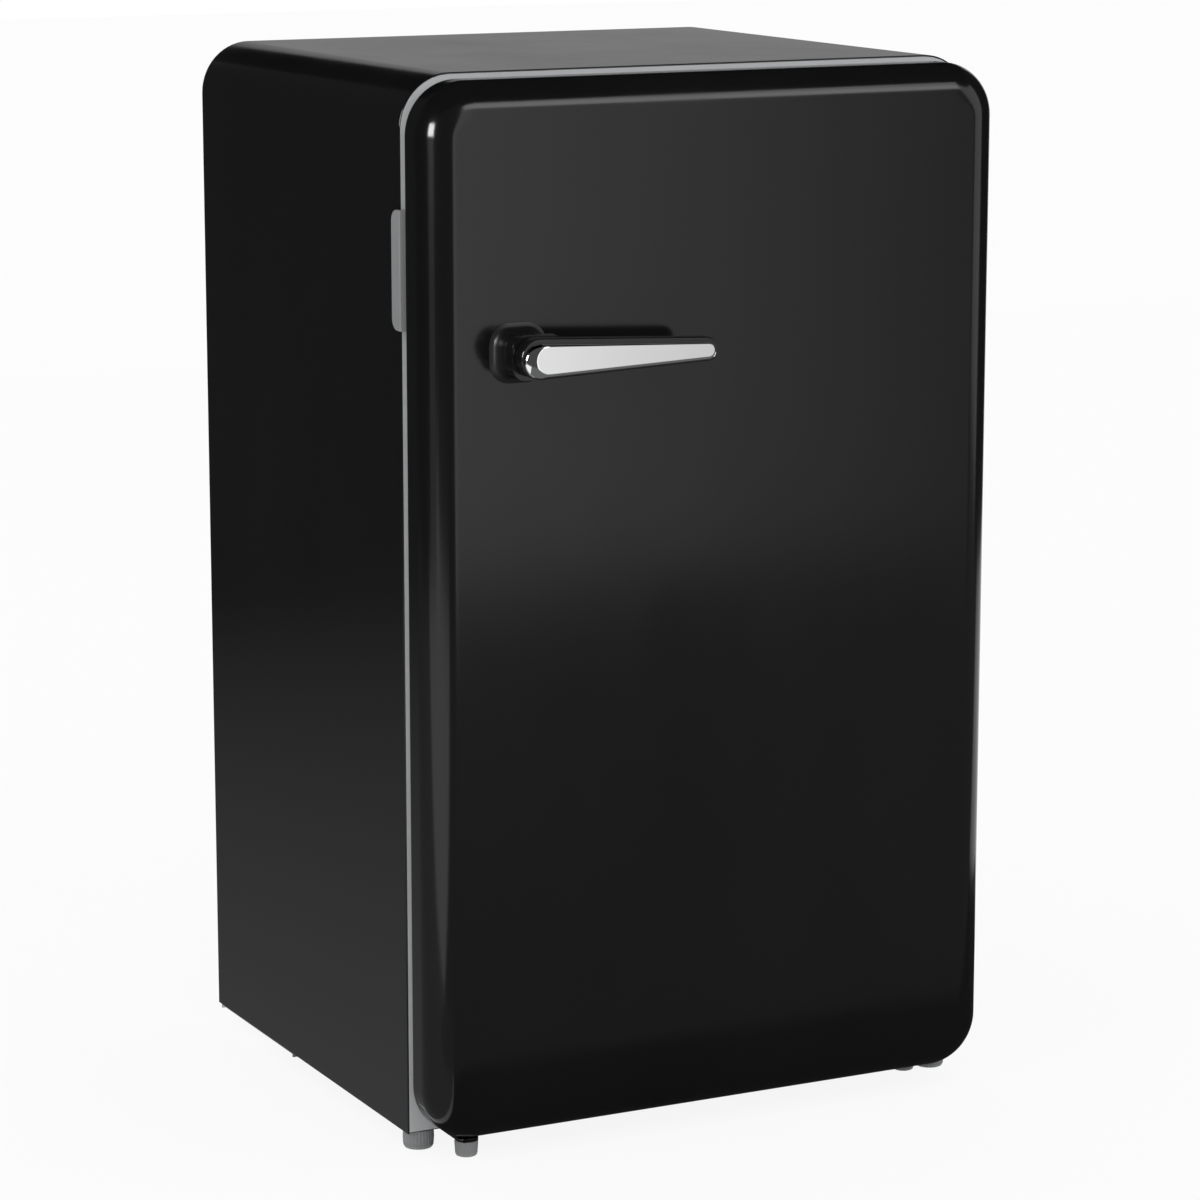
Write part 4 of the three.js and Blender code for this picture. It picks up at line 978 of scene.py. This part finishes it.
def floor():
    """A plain pale floor that keeps a soft shadow of the object."""
    mesh = bpy.data.meshes.new("floor")
    reach = 14
    corners = [(-reach, -reach, 0), (reach, -reach, 0), (reach, reach, 0), (-reach, reach, 0)]
    mesh.from_pydata(corners, [], [(0, 1, 2, 3)])
    made = bpy.data.objects.new("floor", mesh)
    bpy.context.scene.collection.objects.link(made)
    f = Finish("pale_floor", (0.93, 0.93, 0.93), 0.8)
    output = f.tree.nodes["Material Output"]
    glow = f.node("ShaderNodeEmission", {}, {"Color": (1, 1, 1, 1), "Strength": 1.0})
    shader = Signal(f, f.shader.outputs[0])
    mixed = f.node("ShaderNodeMixShader", {}, {0: f.seen() * 0.9, 1: shader, 2: glow})
    f.feed(output.inputs["Surface"], mixed)
    mesh.materials.append(f.material)


def world():
    """White behind everything that sees it, and a plain level of soft light on the object."""
    made = bpy.data.worlds.new("studio")
    bpy.context.scene.world = made
    made.use_nodes = True
    nodes = Nodes(made.node_tree)
    seen = nodes.seen()
    strength = seen * (1 - DIFFUSE_LEVEL) + DIFFUSE_LEVEL
    nodes.feed(made.node_tree.nodes["Background"].inputs["Color"], (1, 1, 1, 1))
    nodes.feed(made.node_tree.nodes["Background"].inputs["Strength"], strength)


def soft_box(name, centre, aim, size, power, reflected=True):
    """A rectangular soft light, left out of reflections if need be."""
    light = bpy.data.lights.new(name, "AREA")
    light.shape = "RECTANGLE"
    light.size, light.size_y = size
    light.energy = power
    made = bpy.data.objects.new(name, light)
    made.location = centre
    made.rotation_euler = (Vector(centre) - Vector(aim)).to_track_quat("Z", "Y").to_euler()
    made.visible_glossy = reflected
    bpy.context.scene.collection.objects.link(made)


def studio():
    """Floor, world, lamps, and the cards that shape what the black enamel reflects."""
    floor()
    world()
    soft_box("key_box", (1.15, -2.4, 2.15), (0, 0, 0.5), (1.5, 0.7), 7)
    soft_box("fill_box", (-2.2, -1.2, 2.3), (0, 0, 0.5), (0.9, 0.9), 6, False)
    card("ceiling_card", (0, 0.65, 2.7), (0, 0, -1), (7, 7.1), 0.0)
    card("upper_back_card", (0, 4.2, 2.4), (0, -1, 0), (8, 0.7), 0.0)
    card("left_back_card", (-2.4, 2.0, 1.35), (0, -1, 0), (3.8, 2.7), 0.03)
    card("left_card", (-2.5, -0.6, 1.35), (1, 0, 0), (5.2, 2.7), 0.02)
    card("strip_card", (-2.2, -1.4, 0.4), (1, 0.45, 0), (0.85, 0.8), 0.3)
    card("spot_card", (-2.2, -1.4, 1.29), (1, 0.45, 0), (0.85, 0.92), 20)
    card("front_left_card", (-0.9, -2.35, 1.35), (0, 1, 0), (2.3, 2.7), 0.06)
    card("back_card", (1.6, 4.0, 1.0), (0, -1, 0), (7.2, 2.2), 0.29)
    card("right_card", (2.5, 0.15, 1.35), (-1, 0, 0), (2.7, 2.7), 0.015)
    card("front_card", (1.1, -2.3, 0.9), (0, 1, 0), (1.7, 1.8), 0.0, 1.25)
    card("left_floor_card", (-1.83, 0.7, 0.003), (0, 0, 1), (3.14, 2.6), 0.03, 0.3, "Y")
    card("front_floor_card", (1.2, -1.765, 0.003), (0, 0, 1), (3.4, 2.69), 0.13)
    card("near_floor_card", (0.325, -0.135, 0.003), (0, 0, 1), (1.15, 0.57), 0.03)


def camera():
    """The camera, low and to the left of the door."""
    made = bpy.data.objects.new("camera", bpy.data.cameras.new("camera"))
    made.data.sensor_width = 36
    made.data.lens = CAMERA_LENS
    made.location = CAMERA_AT
    made.rotation_euler = (math.radians(90 - CAMERA_PITCH), 0, math.radians(-CAMERA_HEADING))
    bpy.context.scene.collection.objects.link(made)
    bpy.context.scene.camera = made


# ================================================================ the whole
cabinet_wrap()
back_beads()
back_screws()
hinge_cap("hinge_cap_right", "upper_hinge_cover", 1, False)
hinge_cap("hinge_cap_left", "hinge_hole_cover", -1, True)
for foot in ("front_foot_left", "front_foot_right", "rear_foot_left", "rear_foot_right"):
    fixed_foot(foot)
foot_strap()
levelling_foot("levelling_foot_left", "left_leveller")
levelling_foot("levelling_foot_right", "right_leveller")
compressor_can()
door_shell()
door_seal()
handle()
dial()
dress_frame()
studio()
camera()
bpy.context.scene.view_settings.view_transform = "Standard"
